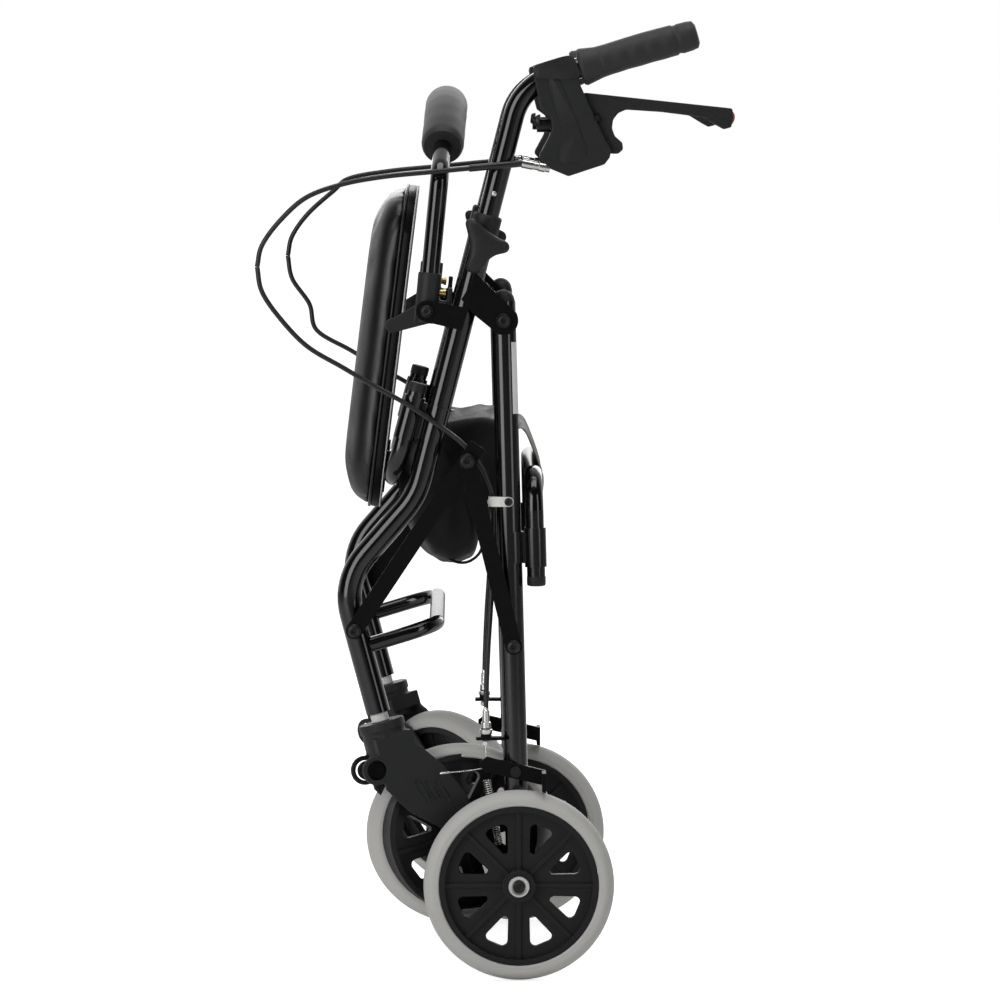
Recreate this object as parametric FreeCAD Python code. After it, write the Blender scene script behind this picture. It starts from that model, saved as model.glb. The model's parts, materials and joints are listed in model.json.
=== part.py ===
import FreeCAD
import Part
import math
import os

# Folding four-wheel walker with a seat, drawn folded and standing on its rear wheels.
# Millimetres. +X points to the user's end, -X to the caster end, +Z up, -Y is the user's left.
# The origin is on the ground, midway between the two rear wheels' contact points.

# --- frame plane and tubes -------------------------------------------------------------
LEG_Y = 220.0
LEG_R = 12.7
LEG_BORE_R = 11.2
GAP = 0.05
FIT = 0.1

AXLE_Z = 100.0
FOLD_X = -15.6
FOLD_Z = 689.7

FRONT_LEG = [(-33.2, 794.0), (-107.3, 504.5), (-184.4, 416.2), (-147.2, 277.7)]
FRONT_LEG_BENDS = [83.0, 68.0]
COLLAR_R = 15.2
COLLAR_DROP = 21.0
COLLAR_RISE = 6.0

HANDLE_R = 11.1
HANDLE_BORE_R = 9.6
HANDLE_RISE = 146.0
HANDLE_BEND = 60.0
HANDLE_INSERT = 164.0
GRIP_RISE_DEG = 16.2
GRIP_START = 66.0
GRIP_LENGTH = 128.0
GRIP_R = 17.0
GRIP_FLARE_R = 20.0
GRIP_END_R = 18.0

BAR_R = 8.0
BAR_BORE_R = 6.6
SEAT_BAR_R = 9.5
SEAT_BAR_BORE_R = 8.1
BAR_BEND = 36.0
FRONT_BAR_TOP = (-106.8, 616.0)
FRONT_BAR_LOW = (-131.6, 524.2)
REAR_BAR_OFFSET = 26.9
REAR_BAR_TOP_Z = 526.2
REAR_BAR_END_Z = 414.0
SADDLE_WALL = 1.9
PAD_INSET = 4.0
WEB_HALF = 5.0
LOWER_BAR_START = (-158.0, 348.3)
LOWER_BAR_CORNER = (-85.8, 370.2)

# --- brackets and braces ---------------------------------------------------------------
PLATE = 4.0
PLATE_INNER = LEG_R + GAP
FOLD_EYE_R = 15.2
BACKREST_PIVOT = (-96.2, 699.7)
BACKREST_EYE_R = 11.2
BRACE_A = (-172.2, 365.0)
BRACE_M = (-53.8, 543.0)
BRACE_B = (-5.3, 348.8)
BRACE_HALF_WIDTH = 8.8
BRACE_THICK = 3.5
BRACE_INNER_Y = LEG_R + 1.0
BRACE_TAIL = 20.0

# --- seat and backrest -----------------------------------------------------------------
SEAT_WIDTH = 350.0
SEAT_DEPTH = 342.0
SEAT_BOARD = 10.0
SEAT_CUSHION = 31.0
SEAT_CORNER = 31.0
SEAT_LEAN_DEG = 6.9
SEAT_HINGE_DROP = 10.5
SEAT_HINGE_SETBACK = 39.5
BACKREST_LEAN_DEG = 5.5
BACKREST_TUBE_R = 9.5
BACKREST_RISE = 144.0
BACKREST_ARCH_R = 359.0
FOAM_HALF = 170.0
FOAM_R = 22.5
SOCKET_R = 12.6
RELEASE_R = 3.5
RELEASE_RISE = 20.0

# --- wheels and casters ----------------------------------------------------------------
WHEEL_R = 100.0
TYRE_SEAT_R = 83.6
TYRE_HALF = 15.0
HUB_BOSS_R = 17.0
AXLE_R = 4.0
SPOKES = 8
REAR_WHEEL_Y = 257.0
STEM_TOP = (-146.1, 273.5)
STEM_LEAN_DEG = math.degrees(
    math.atan2(FRONT_LEG[3][0] - FRONT_LEG[2][0], FRONT_LEG[2][1] - FRONT_LEG[3][1])
)
STEM_R = 6.0
TRAIL = 54.0
CASTER_DROP = 143.0
CASTER_SWIVEL_DEG = {"left": 19.0, "right": 43.0}
FORK_GAP = 18.5
FORK_PLATE = 4.5

# --- brakes ----------------------------------------------------------------------------
LEVER_PIVOT = (81.6, 900.6)
LEVER_HALF = 7.0
HOUSING_HALF = 15.0
SLOT_HALF = 8.0
ARM_PIVOT = (-3.1, 217.0)
ARM_TILT_DEG = -12.0
ARM_LEFT = 39.0
ARM_RIGHT = 32.0
CABLE_R = 2.5
CLIP_HALF = 5.2
CLIP_LOOP_Y = -225.0
CLIP_Z = 500.0

SIDES = ("left", "right")


def vec(x, y, z):
    return FreeCAD.Vector(x, y, z)


def leg_x(z):
    """The rear leg's centre line at a height, from the fold pivot down to the axle."""
    return FOLD_X * (z - AXLE_Z) / (FOLD_Z - AXLE_Z)


CLIP_X = leg_x(CLIP_Z) - LEG_R - CABLE_R - 1.6


def rounded_path(points, radii):
    """A wire of straight runs joined by tangent arcs, one radius for each inner corner."""
    edges = []
    start = points[0]
    corners = zip(points, points[1:], points[2:], radii)
    for before, corner, after, radius in corners:
        back = (before - corner).normalize()
        ahead = (after - corner).normalize()
        half = back.getAngle(ahead) / 2
        first = corner + back * (radius / math.tan(half))
        last = corner + ahead * (radius / math.tan(half))
        inward = (back + ahead).normalize()
        middle = corner + inward * (radius / math.sin(half) - radius)
        edges.append(Part.makeLine(start, first))
        edges.append(Part.Arc(first, middle, last).toShape())
        start = last
    edges.append(Part.makeLine(start, points[-1]))
    return Part.Wire(edges)


def rod_along(path, radius):
    """A round rod swept along a wire."""
    edge = path.OrderedEdges[0]
    start = path.OrderedVertexes[0].Point
    ends = [edge.valueAt(edge.FirstParameter), edge.valueAt(edge.LastParameter)]
    if (ends[0] - start).Length > (ends[1] - start).Length:
        ends.reverse()
    step = (edge.LastParameter - edge.FirstParameter) / 1000
    ahead = edge.tangentAt(edge.FirstParameter + step)
    if ahead.dot(ends[1] - ends[0]) < 0:
        ahead = ahead * -1
    profile = Part.Wire(Part.makeCircle(radius, start, ahead))
    return Part.Solid(path.makePipeShell([profile], True, True))


def pipe(points, radii, outer, inner):
    """A bent tube, open at both ends."""
    path = rounded_path(points, radii)
    return rod_along(path, outer).cut(rod_along(path, inner))


def rod(first, last, radius):
    """A straight round rod between two points."""
    span = last - first
    return Part.makeCylinder(radius, span.Length, first, span)


def cross_rod(x, z, y0, y1, radius):
    """A rod along Y."""
    return rod(vec(x, y0, z), vec(x, y1, z), radius)


def plate(outline, y0, y1):
    """A flat plate with an outline in the XZ plane."""
    points = [vec(x, y0, z) for x, z in outline]
    face = Part.Face(Part.makePolygon(points + points[:1]))
    return face.extrude(vec(0, y1 - y0, 0))


def strap(first, last, half_width, y0, y1):
    """A flat bar with round ends between two XZ points."""
    along = vec(last[0] - first[0], 0, last[1] - first[1]).normalize()
    side = vec(-along.z, 0, along.x) * half_width
    corners = []
    for point, sign in ((first, 1), (last, 1), (last, -1), (first, -1)):
        corners.append((point[0] + sign * side.x, point[1] + sign * side.z))
    bar = plate(corners, y0, y1)
    for point in (first, last):
        bar = bar.fuse(cross_rod(point[0], point[1], y0, y1, half_width))
    return bar.removeSplitter()


def mirrored(shape):
    """The same shape on the other side of the walker."""
    return shape.mirror(vec(0, 0, 0), vec(0, 1, 0))


def both(shape):
    """A left-hand shape and its right-hand twin."""
    return [shape, mirrored(shape)]


def on_side(shape, side):
    """A shape drawn for the left, moved to the named side."""
    return shape if side == "left" else mirrored(shape)


def revolved(profile, origin, axis, turn=360):
    """A profile of (radius, height) points turned about an axis through an origin."""
    points = [vec(r, 0, h) for r, h in profile]
    face = Part.Face(Part.makePolygon(points + points[:1]))
    solid = face.revolve(vec(0, 0, 0), vec(0, 0, 1), turn)
    turn_to_axis = FreeCAD.Rotation(vec(0, 0, 1), axis)
    solid.Placement = FreeCAD.Placement(origin, turn_to_axis)
    return solid


def hex_bolt_head(centre, outward, across, height):
    """A hexagonal head standing on a face."""
    corners = []
    for n in range(7):
        angle = math.radians(60 * n)
        corners.append(vec(across / 2 * math.cos(angle), across / 2 * math.sin(angle), 0))
    head = Part.Face(Part.makePolygon(corners)).extrude(vec(0, 0, height))
    head.Placement = FreeCAD.Placement(centre, FreeCAD.Rotation(vec(0, 0, 1), outward))
    return head


def save(name, shapes):
    """Writes one node: a single solid, or a group of separate ones."""
    solids = []
    for shape in shapes:
        solids += shape.Solids
    whole = solids[0] if len(solids) == 1 else Part.makeCompound(solids)
    whole.exportStep(f"parts/{name}.step")


# --- front frame -----------------------------------------------------------------------
LEG_TOP = vec(FRONT_LEG[0][0], -LEG_Y, FRONT_LEG[0][1])
LEG_KNEE = vec(FRONT_LEG[1][0], -LEG_Y, FRONT_LEG[1][1])
LEG_UP = (LEG_TOP - LEG_KNEE).normalize()
KNOB_BELOW_TOP = 30.0
KNOB_POINT = LEG_TOP - LEG_UP * KNOB_BELOW_TOP
STUD_R = 4.0
BOSS_R = 7.5
BOSS_LENGTH = 4.0


def front_leg_points():
    return [vec(x, -LEG_Y, z) for x, z in FRONT_LEG]


def leg_cylinder(radius):
    """The straight upper run of a front leg, as a cutter."""
    return rod(LEG_KNEE + LEG_UP * 20, LEG_TOP + LEG_UP, radius)


def knob_hole(radius):
    return rod(KNOB_POINT, KNOB_POINT - vec(0, 40, 0), radius)


def front_leg_tube():
    tube = pipe(front_leg_points(), FRONT_LEG_BENDS, LEG_R, LEG_BORE_R)
    return tube.cut(knob_hole(STUD_R + FIT))


def handle_collar():
    """The plastic ring that guides the handle tube at the leg's mouth."""
    profile = [
        (HANDLE_R + FIT, COLLAR_RISE),
        (COLLAR_R - 1.5, COLLAR_RISE),
        (COLLAR_R, COLLAR_RISE - 2),
        (COLLAR_R, -COLLAR_DROP),
        (LEG_R + GAP, -COLLAR_DROP),
        (LEG_R + GAP, GAP),
        (HANDLE_R + FIT, GAP),
    ]
    return revolved(profile, LEG_TOP, LEG_UP)


def knob_boss():
    """The threaded boss welded to the leg, under the wing knob."""
    face = KNOB_POINT - vec(0, LEG_R - 3, 0)
    boss = rod(face, face - vec(0, BOSS_LENGTH + 3, 0), BOSS_R)
    return boss.cut(leg_cylinder(LEG_R + GAP)).cut(knob_hole(STUD_R + FIT))


def fold_plate(y0):
    """One cheek of the clevis that holds the rear leg, welded to the front leg."""
    eye = (FOLD_X, FOLD_Z)
    outline = [(-43.5, 738.0), (FOLD_X + 9, FOLD_Z + 12)]
    outline += [(FOLD_X - 10, FOLD_Z - 11), (-47.0, 696.0), (-60.0, 712.0)]
    cheek = plate(outline, y0, y0 + PLATE)
    cheek = cheek.fuse(cross_rod(eye[0], eye[1], y0, y0 + PLATE, FOLD_EYE_R))
    return cheek.cut(cross_rod(eye[0], eye[1], y0 - 1, y0 + PLATE + 1, AXLE_R + FIT))


def backrest_plate(y0):
    """One cheek of the bracket that holds the backrest socket."""
    px, pz = BACKREST_PIVOT
    outline = [(px + 2, pz + BACKREST_EYE_R), (-52.0, 702.5)]
    outline += [(-60.0, 679.5), (px - 2, pz - BACKREST_EYE_R)]
    cheek = plate(outline, y0, y0 + PLATE)
    cheek = cheek.fuse(cross_rod(px, pz, y0, y0 + PLATE, BACKREST_EYE_R))
    return cheek.cut(cross_rod(px, pz, y0 - 1, y0 + PLATE + 1, AXLE_R + FIT))


def bracket_plates():
    """Inner and outer cheeks on one leg; each pair of plates is one pressed piece."""
    plates = []
    for y0 in (-LEG_Y - PLATE_INNER - PLATE, -LEG_Y + PLATE_INNER):
        pressing = fold_plate(y0).fuse(backrest_plate(y0)).removeSplitter()
        plates.append(pressing)
    return plates


def bar_between(arm_end, arm_corner, outer, bore):
    """A U-shaped bar: down one arm, across the walker and up the other."""
    points = [vec(arm_end[0], -LEG_Y, arm_end[1])]
    points += [vec(arm_corner[0], -LEG_Y, arm_corner[1])]
    points += [vec(arm_corner[0], LEG_Y, arm_corner[1])]
    points += [vec(arm_end[0], LEG_Y, arm_end[1])]
    return pipe(points, [BAR_BEND, BAR_BEND], outer, bore)


def front_seat_bar():
    return bar_between(FRONT_BAR_TOP, FRONT_BAR_LOW, SEAT_BAR_R, SEAT_BAR_BORE_R)


def lower_crossbar():
    bar = bar_between(LOWER_BAR_START, LOWER_BAR_CORNER, BAR_R, BAR_BORE_R)
    leg = rod_along(rounded_path(front_leg_points(), FRONT_LEG_BENDS), LEG_R + GAP)
    return bar.cut(leg).cut(mirrored(leg))


def saddle(bar_low, bar_high, leg_low):
    """A pressed saddle: a barrel on the seat bar's arm, a web, and a pad half round the leg."""
    up = (bar_high - bar_low).normalize()
    length = (bar_high - bar_low).Length
    across = (leg_low - bar_low).normalize()
    barrel = rod(bar_low, bar_high, SEAT_BAR_R + SADDLE_WALL)
    pad_low = leg_low + up * PAD_INSET
    pad_high = leg_low + up * (length - PAD_INSET)
    pad = rod(pad_low, pad_high, LEG_R + 2.2)
    beyond = Part.makeBox(80, 80, 80, vec(-40, -40, 0))
    beyond.Placement = FreeCAD.Placement(leg_low, FreeCAD.Rotation(vec(0, 0, 1), across))
    pad = pad.cut(beyond)
    corner = pad_low + vec(0, -WEB_HALF, 0)
    foot = [corner, corner - across * (leg_low - bar_low).Length]
    foot += [foot[1] + vec(0, 2 * WEB_HALF, 0), corner + vec(0, 2 * WEB_HALF, 0)]
    web = Part.Face(Part.makePolygon(foot + foot[:1])).extrude(up * (length - 2 * PAD_INSET))
    block = barrel.fuse(web).fuse(pad)
    block = block.cut(rod(bar_low - up * 5, bar_high + up * 5, SEAT_BAR_R + GAP))
    return block.cut(rod(leg_low - up * 20, leg_low + up * (length + 20), LEG_R + GAP))


def front_saddle():
    low = vec(FRONT_BAR_LOW[0], -LEG_Y, FRONT_BAR_LOW[1])
    top = vec(FRONT_BAR_TOP[0], -LEG_Y, FRONT_BAR_TOP[1])
    up = (top - low).normalize()
    bar_low = low + up * 43
    bar_high = low + up * 89
    offset = (LEG_KNEE - low) - LEG_UP * (LEG_KNEE - low).dot(LEG_UP)
    return saddle(bar_low, bar_high, bar_low + offset).cut(leg_cylinder(LEG_R + GAP))


def rear_saddle():
    bar_low = vec(leg_x(431.0) + REAR_BAR_OFFSET, -LEG_Y, 431.0)
    bar_high = vec(leg_x(472.0) + REAR_BAR_OFFSET, -LEG_Y, 472.0)
    return saddle(bar_low, bar_high, leg_point(431.0))


def rear_seat_bar():
    end = (leg_x(REAR_BAR_END_Z) + REAR_BAR_OFFSET, REAR_BAR_END_Z)
    corner = (leg_x(REAR_BAR_TOP_Z) + REAR_BAR_OFFSET, REAR_BAR_TOP_Z)
    return bar_between(end, corner, SEAT_BAR_R, SEAT_BAR_BORE_R)


def headed_pin(x, z, y_outer, y_inner, radius, head_r, head):
    """A pin with a domed head outboard and a nut inboard."""
    pin = cross_rod(x, z, y_outer, y_inner, radius)
    cap = cross_rod(x, z, y_outer - head, y_outer, head_r)
    nut = hex_bolt_head(vec(x, y_inner, z), vec(0, 1, 0), 2 * head_r, head)
    return pin.fuse(cap).fuse(nut)


def front_frame_bolts():
    """The backrest's pivot bolts and the front screws of the braces."""
    outer = -LEG_Y - PLATE_INNER - PLATE - GAP
    inner = -LEG_Y + PLATE_INNER + PLATE + GAP
    px, pz = BACKREST_PIVOT
    pivot = headed_pin(px, pz, outer, inner, AXLE_R, 6.5, 3.0)
    ax, az = BRACE_A
    link_outer = -LEG_Y - BRACE_INNER_Y - BRACE_THICK
    screw = cross_rod(ax, az, link_outer - GAP, -LEG_Y - LEG_R + 1, AXLE_R)
    screw = screw.fuse(cross_rod(ax, az, link_outer - 3, link_outer - GAP, 7.0))
    leg = rod_along(rounded_path(front_leg_points(), FRONT_LEG_BENDS), LEG_R + GAP)
    return both(pivot) + both(screw.cut(leg))


# --- rear frame ------------------------------------------------------------------------
PLUG_CENTRE = 20.0
PLUG_R = 12.0
AXLE_INNER = 16.0


def leg_point(z, y=-LEG_Y):
    return vec(leg_x(z), y, z)


def rear_leg_tube():
    top = FOLD_Z + PLUG_CENTRE
    tube = rod(leg_point(AXLE_Z - 16), leg_point(top), LEG_R)
    tube = tube.cut(rod(leg_point(AXLE_Z - 17), leg_point(top + 1), LEG_BORE_R))
    for x, z, radius in (
        (FOLD_X, FOLD_Z, AXLE_R + FIT),
        (0.0, AXLE_Z, AXLE_R + 2 + FIT),
        (ARM_PIVOT[0], ARM_PIVOT[1], 3.0 + FIT),
    ):
        tube = tube.cut(cross_rod(x, z, -LEG_Y - 40, -LEG_Y + 40, radius))
    return tube


def rear_leg_plug():
    """Domed plug in the leg's top end."""
    centre = leg_point(FOLD_Z + PLUG_CENTRE)
    below = rod(leg_point(FOLD_Z - 20), leg_point(FOLD_Z + PLUG_CENTRE + GAP), LEG_R + 1)
    dome = Part.makeSphere(PLUG_R, centre).cut(below)
    stem = rod(leg_point(FOLD_Z + 8), leg_point(FOLD_Z + PLUG_CENTRE + 1), LEG_BORE_R - GAP)
    return dome.fuse(stem)


def brace_spacer_screw():
    """Screw, and the sleeve that holds the rear brace off the leg."""
    bx, bz = BRACE_B
    inner = -LEG_Y - BRACE_INNER_Y - BRACE_THICK - 1.0
    outer = inner - BRACE_THICK
    sleeve = cross_rod(bx, bz, inner + GAP, -LEG_Y - LEG_R + 2, 7.0)
    screw = cross_rod(bx, bz, outer - GAP, inner + GAP, AXLE_R)
    head = cross_rod(bx, bz, outer - 3, outer - GAP, 7.0)
    leg = rod(leg_point(AXLE_Z), leg_point(FOLD_Z), LEG_R + GAP)
    return sleeve.fuse(screw).fuse(head).cut(leg)


def arm_pin():
    ax, az = ARM_PIVOT
    return headed_pin(ax, az, -LEG_Y - 22.5, -LEG_Y + LEG_R + 1, 3.0, 5.5, 2.5)


def rear_axle():
    """Axle bolt with its outer washer and cap screw head."""
    hub_face = -REAR_WHEEL_Y - 16.0
    bolt = cross_rod(0, AXLE_Z, hub_face - 3, -LEG_Y + LEG_R + 1, AXLE_R + 2)
    washer = cross_rod(0, AXLE_Z, hub_face - 2, hub_face - 0.3, 11.0)
    head = cross_rod(0, AXLE_Z, hub_face - 7, hub_face - 2, 6.2)
    nut = cross_rod(0, AXLE_Z, -LEG_Y + LEG_R + 0.5, -LEG_Y + LEG_R + 2.5, 8.0)
    spacer = cross_rod(0, AXLE_Z, -REAR_WHEEL_Y + 16.3, -LEG_Y - LEG_R + 2, 9.0)
    leg = rod(leg_point(AXLE_Z - 30), leg_point(AXLE_Z + 60), LEG_R + GAP)
    body = bolt.fuse(washer).fuse(head).fuse(nut)
    return body.fuse(spacer.cut(leg))


def cable_clip():
    """P-clip: a flat tab screwed to the leg's side, with a loop round the cable."""
    z = CLIP_Z
    centre = leg_x(z)
    outer = -LEG_Y - LEG_R - 1.8
    tab = strap((centre - 17, z), (centre, z), CLIP_HALF, outer, outer + 1.5)
    loop_x = CLIP_X
    loop = rod(vec(loop_x, CLIP_LOOP_Y, z - CLIP_HALF), vec(loop_x, CLIP_LOOP_Y, z + CLIP_HALF), 4.3)
    link = Part.makeBox(1.3, CLIP_LOOP_Y - outer, 2 * CLIP_HALF, vec(loop_x - 4.3, outer, z - CLIP_HALF))
    hollow = rod(vec(loop_x, CLIP_LOOP_Y, z - 20), vec(loop_x, CLIP_LOOP_Y, z + 20), CABLE_R + 0.5)
    leg = rod(leg_point(480.0), leg_point(520.0), LEG_R + GAP)
    return tab.fuse(loop).fuse(link).cut(hollow).cut(leg)


def clip_screw():
    """Screw that holds the P-clip's tab."""
    z = CLIP_Z
    outer = -LEG_Y - LEG_R - 1.8 - GAP
    return cross_rod(leg_x(z), z, outer - 2.6, outer, 4.2)


def cable_stop():
    """Bracket on the leg's front that the cable's outer sleeve pushes against."""
    z = 253.0
    half_y = 7.0
    shelf = Part.makeBox(30, 2 * half_y, 3.5, vec(leg_x(z) - LEG_R - 28, -LEG_Y - half_y - 8, z - 3.5))
    shelf = shelf.cut(rod(leg_point(z - 20), leg_point(z + 20), LEG_R + GAP))
    adjuster = rod(vec(-34.3, -LEG_Y - 8, z + GAP), vec(-34.3, -LEG_Y - 8, z + 9), 5.5)
    sleeve = rod(vec(-34.3, -LEG_Y - 8, z + 9), vec(-34.3, -LEG_Y - 8, z + 27), 3.6)
    return [shelf, adjuster.fuse(sleeve)]


def return_spring():
    """Spring that lifts the brake shoe; it stretches as the arm turns."""
    top = vec(-34.0, -LEG_Y - 15.0, 209.0)
    low = vec(-21.0, -LEG_Y - 13.5, 138.0)
    return rod(low, top, 3.0)


def fold_bolt():
    outer = -LEG_Y - PLATE_INNER - PLATE - GAP
    inner = -LEG_Y + PLATE_INNER + PLATE + GAP
    return headed_pin(FOLD_X, FOLD_Z, outer, inner, AXLE_R, 7.5, 3.5)


# --- braces ----------------------------------------------------------------------------
def brace_hole(point):
    return cross_rod(point[0], point[1], -LEG_Y - 60, -LEG_Y, AXLE_R + FIT)


def front_brace():
    """Inner link, from the front leg's lower part to past the middle pivot."""
    dx = BRACE_M[0] - BRACE_A[0]
    dz = BRACE_M[1] - BRACE_A[1]
    scale = 1 + BRACE_TAIL / math.hypot(dx, dz)
    tail = (BRACE_A[0] + dx * scale, BRACE_A[1] + dz * scale)
    outer = -LEG_Y - BRACE_INNER_Y - BRACE_THICK
    bar = strap(BRACE_A, tail, BRACE_HALF_WIDTH, outer, outer + BRACE_THICK)
    square = rod(vec(tail[0], outer - 1, tail[1]), vec(tail[0], outer + 9, tail[1]), 20)
    beyond = Part.makeBox(40, 20, 40, vec(0, -10, -20))
    turn = FreeCAD.Rotation(vec(0, 1, 0), -math.degrees(math.atan2(dz, dx)))
    beyond.Placement = FreeCAD.Placement(vec(tail[0], outer, tail[1]), turn)
    bar = bar.cut(square.common(beyond))
    return bar.cut(brace_hole(BRACE_A)).cut(brace_hole(BRACE_M))


def rear_brace():
    """Outer link, from the middle pivot to the rear leg."""
    inner = -LEG_Y - BRACE_INNER_Y - BRACE_THICK - 1.0
    bar = strap(BRACE_M, BRACE_B, BRACE_HALF_WIDTH, inner - BRACE_THICK, inner)
    return bar.cut(brace_hole(BRACE_M)).cut(brace_hole(BRACE_B))


def middle_rivet():
    """Rivet in the outer link; it stops short of the inner link."""
    inner = -LEG_Y - BRACE_INNER_Y - BRACE_THICK - 1.0
    outer = inner - BRACE_THICK
    shank = cross_rod(BRACE_M[0], BRACE_M[1], outer - GAP, inner, AXLE_R)
    head = cross_rod(BRACE_M[0], BRACE_M[1], outer - 3, outer - GAP, 8.0)
    return shank.fuse(head)


# --- seat ------------------------------------------------------------------------------
def seat_placement():
    """Seat axes: local X up the seat from its hinge, local Z away from its underside."""
    lean = math.radians(SEAT_LEAN_DEG)
    up = vec(math.sin(lean), 0, math.cos(lean))
    out = vec(-math.cos(lean), 0, math.sin(lean))
    matrix = FreeCAD.Matrix()
    matrix.A11, matrix.A21, matrix.A31 = up.x, up.y, up.z
    matrix.A12, matrix.A22, matrix.A32 = 0, 1, 0
    matrix.A13, matrix.A23, matrix.A33 = out.x, out.y, out.z
    matrix.A14, matrix.A24, matrix.A34 = FRONT_BAR_LOW[0], 0, FRONT_BAR_LOW[1]
    return FreeCAD.Placement(matrix)


def seat_slab(inset, low, high):
    """A rounded rectangle of the seat's outline between two local heights."""
    length = SEAT_DEPTH - 2 * inset
    width = SEAT_WIDTH - 2 * inset
    start = vec(inset - SEAT_HINGE_SETBACK, -width / 2, low)
    slab = Part.makeBox(length, width, high - low, start)
    edges = [e for e in slab.Edges if abs(e.tangentAt(e.FirstParameter).z) > 0.99]
    return slab.makeFillet(SEAT_CORNER - inset, edges)


def seat_board():
    board = seat_slab(0, SEAT_HINGE_DROP, SEAT_HINGE_DROP + SEAT_BOARD)
    board.Placement = seat_placement()
    return board


def seat_cushion():
    low = SEAT_HINGE_DROP + SEAT_BOARD + GAP
    cushion = seat_slab(1.0, low, low + SEAT_CUSHION)
    top = [e for e in cushion.Edges if min(v.Z for v in e.Vertexes) > low + SEAT_CUSHION - 1]
    cushion = cushion.makeFillet(9.0, top)
    cushion.Placement = seat_placement()
    return cushion


def seat_hinge_clips():
    """Saddle clips that wrap the front seat bar and screw to the board."""
    clips = []
    for y in (-120.0, 100.0):
        ring = Part.makeCylinder(SEAT_BAR_R + 2.4, 20, vec(0, y, 0), vec(0, 1, 0))
        foot = Part.makeBox(44, 20, 2.3, vec(-22, y, SEAT_HINGE_DROP - 2.3 - GAP))
        clip = ring.fuse(foot).cut(
            Part.makeCylinder(SEAT_BAR_R + FIT, 22, vec(0, y - 1, 0), vec(0, 1, 0))
        )
        above = Part.makeBox(60, 24, 10, vec(-30, y - 2, SEAT_HINGE_DROP - GAP))
        clip = clip.cut(above)
        clip.Placement = seat_placement()
        clips.append(clip)
    return clips


# --- backrest --------------------------------------------------------------------------
def backrest_placement():
    """Local Z runs up the backrest's tubes from the pivot, local Y is the walker's."""
    turn = FreeCAD.Rotation(vec(0, 1, 0), BACKREST_LEAN_DEG)
    return FreeCAD.Placement(vec(BACKREST_PIVOT[0], 0, BACKREST_PIVOT[1]), turn)


def backrest_arch():
    """End height and middle point of the padded arch, in the backrest's own frame."""
    rise = BACKREST_ARCH_R - math.sqrt(BACKREST_ARCH_R**2 - FOAM_HALF**2)
    slope = FOAM_HALF / math.sqrt(BACKREST_ARCH_R**2 - FOAM_HALF**2)
    end_z = BACKREST_RISE + (LEG_Y - FOAM_HALF) * slope
    return end_z, end_z + rise


def arch_edge():
    end_z, top_z = backrest_arch()
    ends = (vec(0, -FOAM_HALF, end_z), vec(0, FOAM_HALF, end_z))
    return Part.Arc(ends[0], vec(0, 0, top_z), ends[1]).toShape()


def backrest_path():
    end_z, top_z = backrest_arch()
    bend = 26.0
    corner = vec(0, -LEG_Y, BACKREST_RISE)
    side = rounded_path([vec(0, -LEG_Y, -8), corner, vec(0, -FOAM_HALF, end_z)], [bend])
    other = side.mirror(vec(0, 0, 0), vec(0, 1, 0))
    edges = list(side.OrderedEdges) + [arch_edge()] + list(other.OrderedEdges)[::-1]
    return Part.Wire(Part.__sortEdges__(edges))


def backrest_bar():
    path = backrest_path()
    bar = rod_along(path, BACKREST_TUBE_R)
    bar.Placement = backrest_placement()
    pivot = cross_rod(*BACKREST_PIVOT, -LEG_Y - 30, LEG_Y + 30, AXLE_R + FIT)
    return bar.cut(pivot)


def backrest_foam():
    path = Part.Wire([arch_edge()])
    foam = rod_along(path, FOAM_R).cut(rod_along(path, BACKREST_TUBE_R + GAP))
    foam.Placement = backrest_placement()
    return foam


def backrest_socket():
    """Moulded socket: a barrel round the tube's foot, a stop arm and the button's guard."""
    base = vec(0, -LEG_Y, -13)
    barrel = rod(base, base + vec(0, 0, 53), SOCKET_R)
    boss_x, boss_z, boss_r = -34.0, -19.0, 7.8
    half = 6.0
    arm = plate(
        [(-8, 8), (boss_x, boss_z + boss_r), (boss_x, boss_z - boss_r), (4, -13)],
        -LEG_Y - half,
        -LEG_Y + half,
    )
    boss = cross_rod(boss_x, boss_z, -LEG_Y - half, -LEG_Y + half, boss_r)
    guard = plate(
        [(8, -4), (25, 4), (25, 26), (20, 26), (20, 12), (8, 12)],
        -LEG_Y - half,
        -LEG_Y + half,
    )
    body = barrel.fuse(arm).fuse(boss).fuse(guard)
    tube = rod(vec(0, -LEG_Y, -8), vec(0, -LEG_Y, 60), BACKREST_TUBE_R + GAP)
    pivot = cross_rod(0, 0, -LEG_Y - 30, -LEG_Y + 30, AXLE_R + FIT)
    button = rod(vec(0, -LEG_Y, RELEASE_RISE), vec(30, -LEG_Y, RELEASE_RISE), RELEASE_R + FIT)
    body = body.cut(tube).cut(pivot).cut(button)
    body.Placement = backrest_placement()
    return body


def release_button():
    """Sprung button in the socket; pressed, it travels towards the tube."""
    pin_end = vec(BACKREST_TUBE_R + 2.2, -LEG_Y, RELEASE_RISE)
    cap_start = vec(SOCKET_R + 2.4, -LEG_Y, RELEASE_RISE)
    pin = rod(pin_end, cap_start + vec(1, 0, 0), RELEASE_R)
    cap = rod(cap_start, cap_start + vec(3, 0, 0), RELEASE_R + 1)
    button = pin.fuse(cap).removeSplitter()
    button.Placement = backrest_placement()
    return button


# --- handles ---------------------------------------------------------------------------
GRIP_DIRECTION = vec(
    math.cos(math.radians(GRIP_RISE_DEG)), 0, math.sin(math.radians(GRIP_RISE_DEG))
)
HANDLE_TURN = LEG_TOP + LEG_UP * HANDLE_RISE
GRIP_FOOT = HANDLE_TURN + GRIP_DIRECTION * GRIP_START
BUTTON_RISE = 29.0
BUTTON_POINT = LEG_TOP + LEG_UP * BUTTON_RISE


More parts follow.
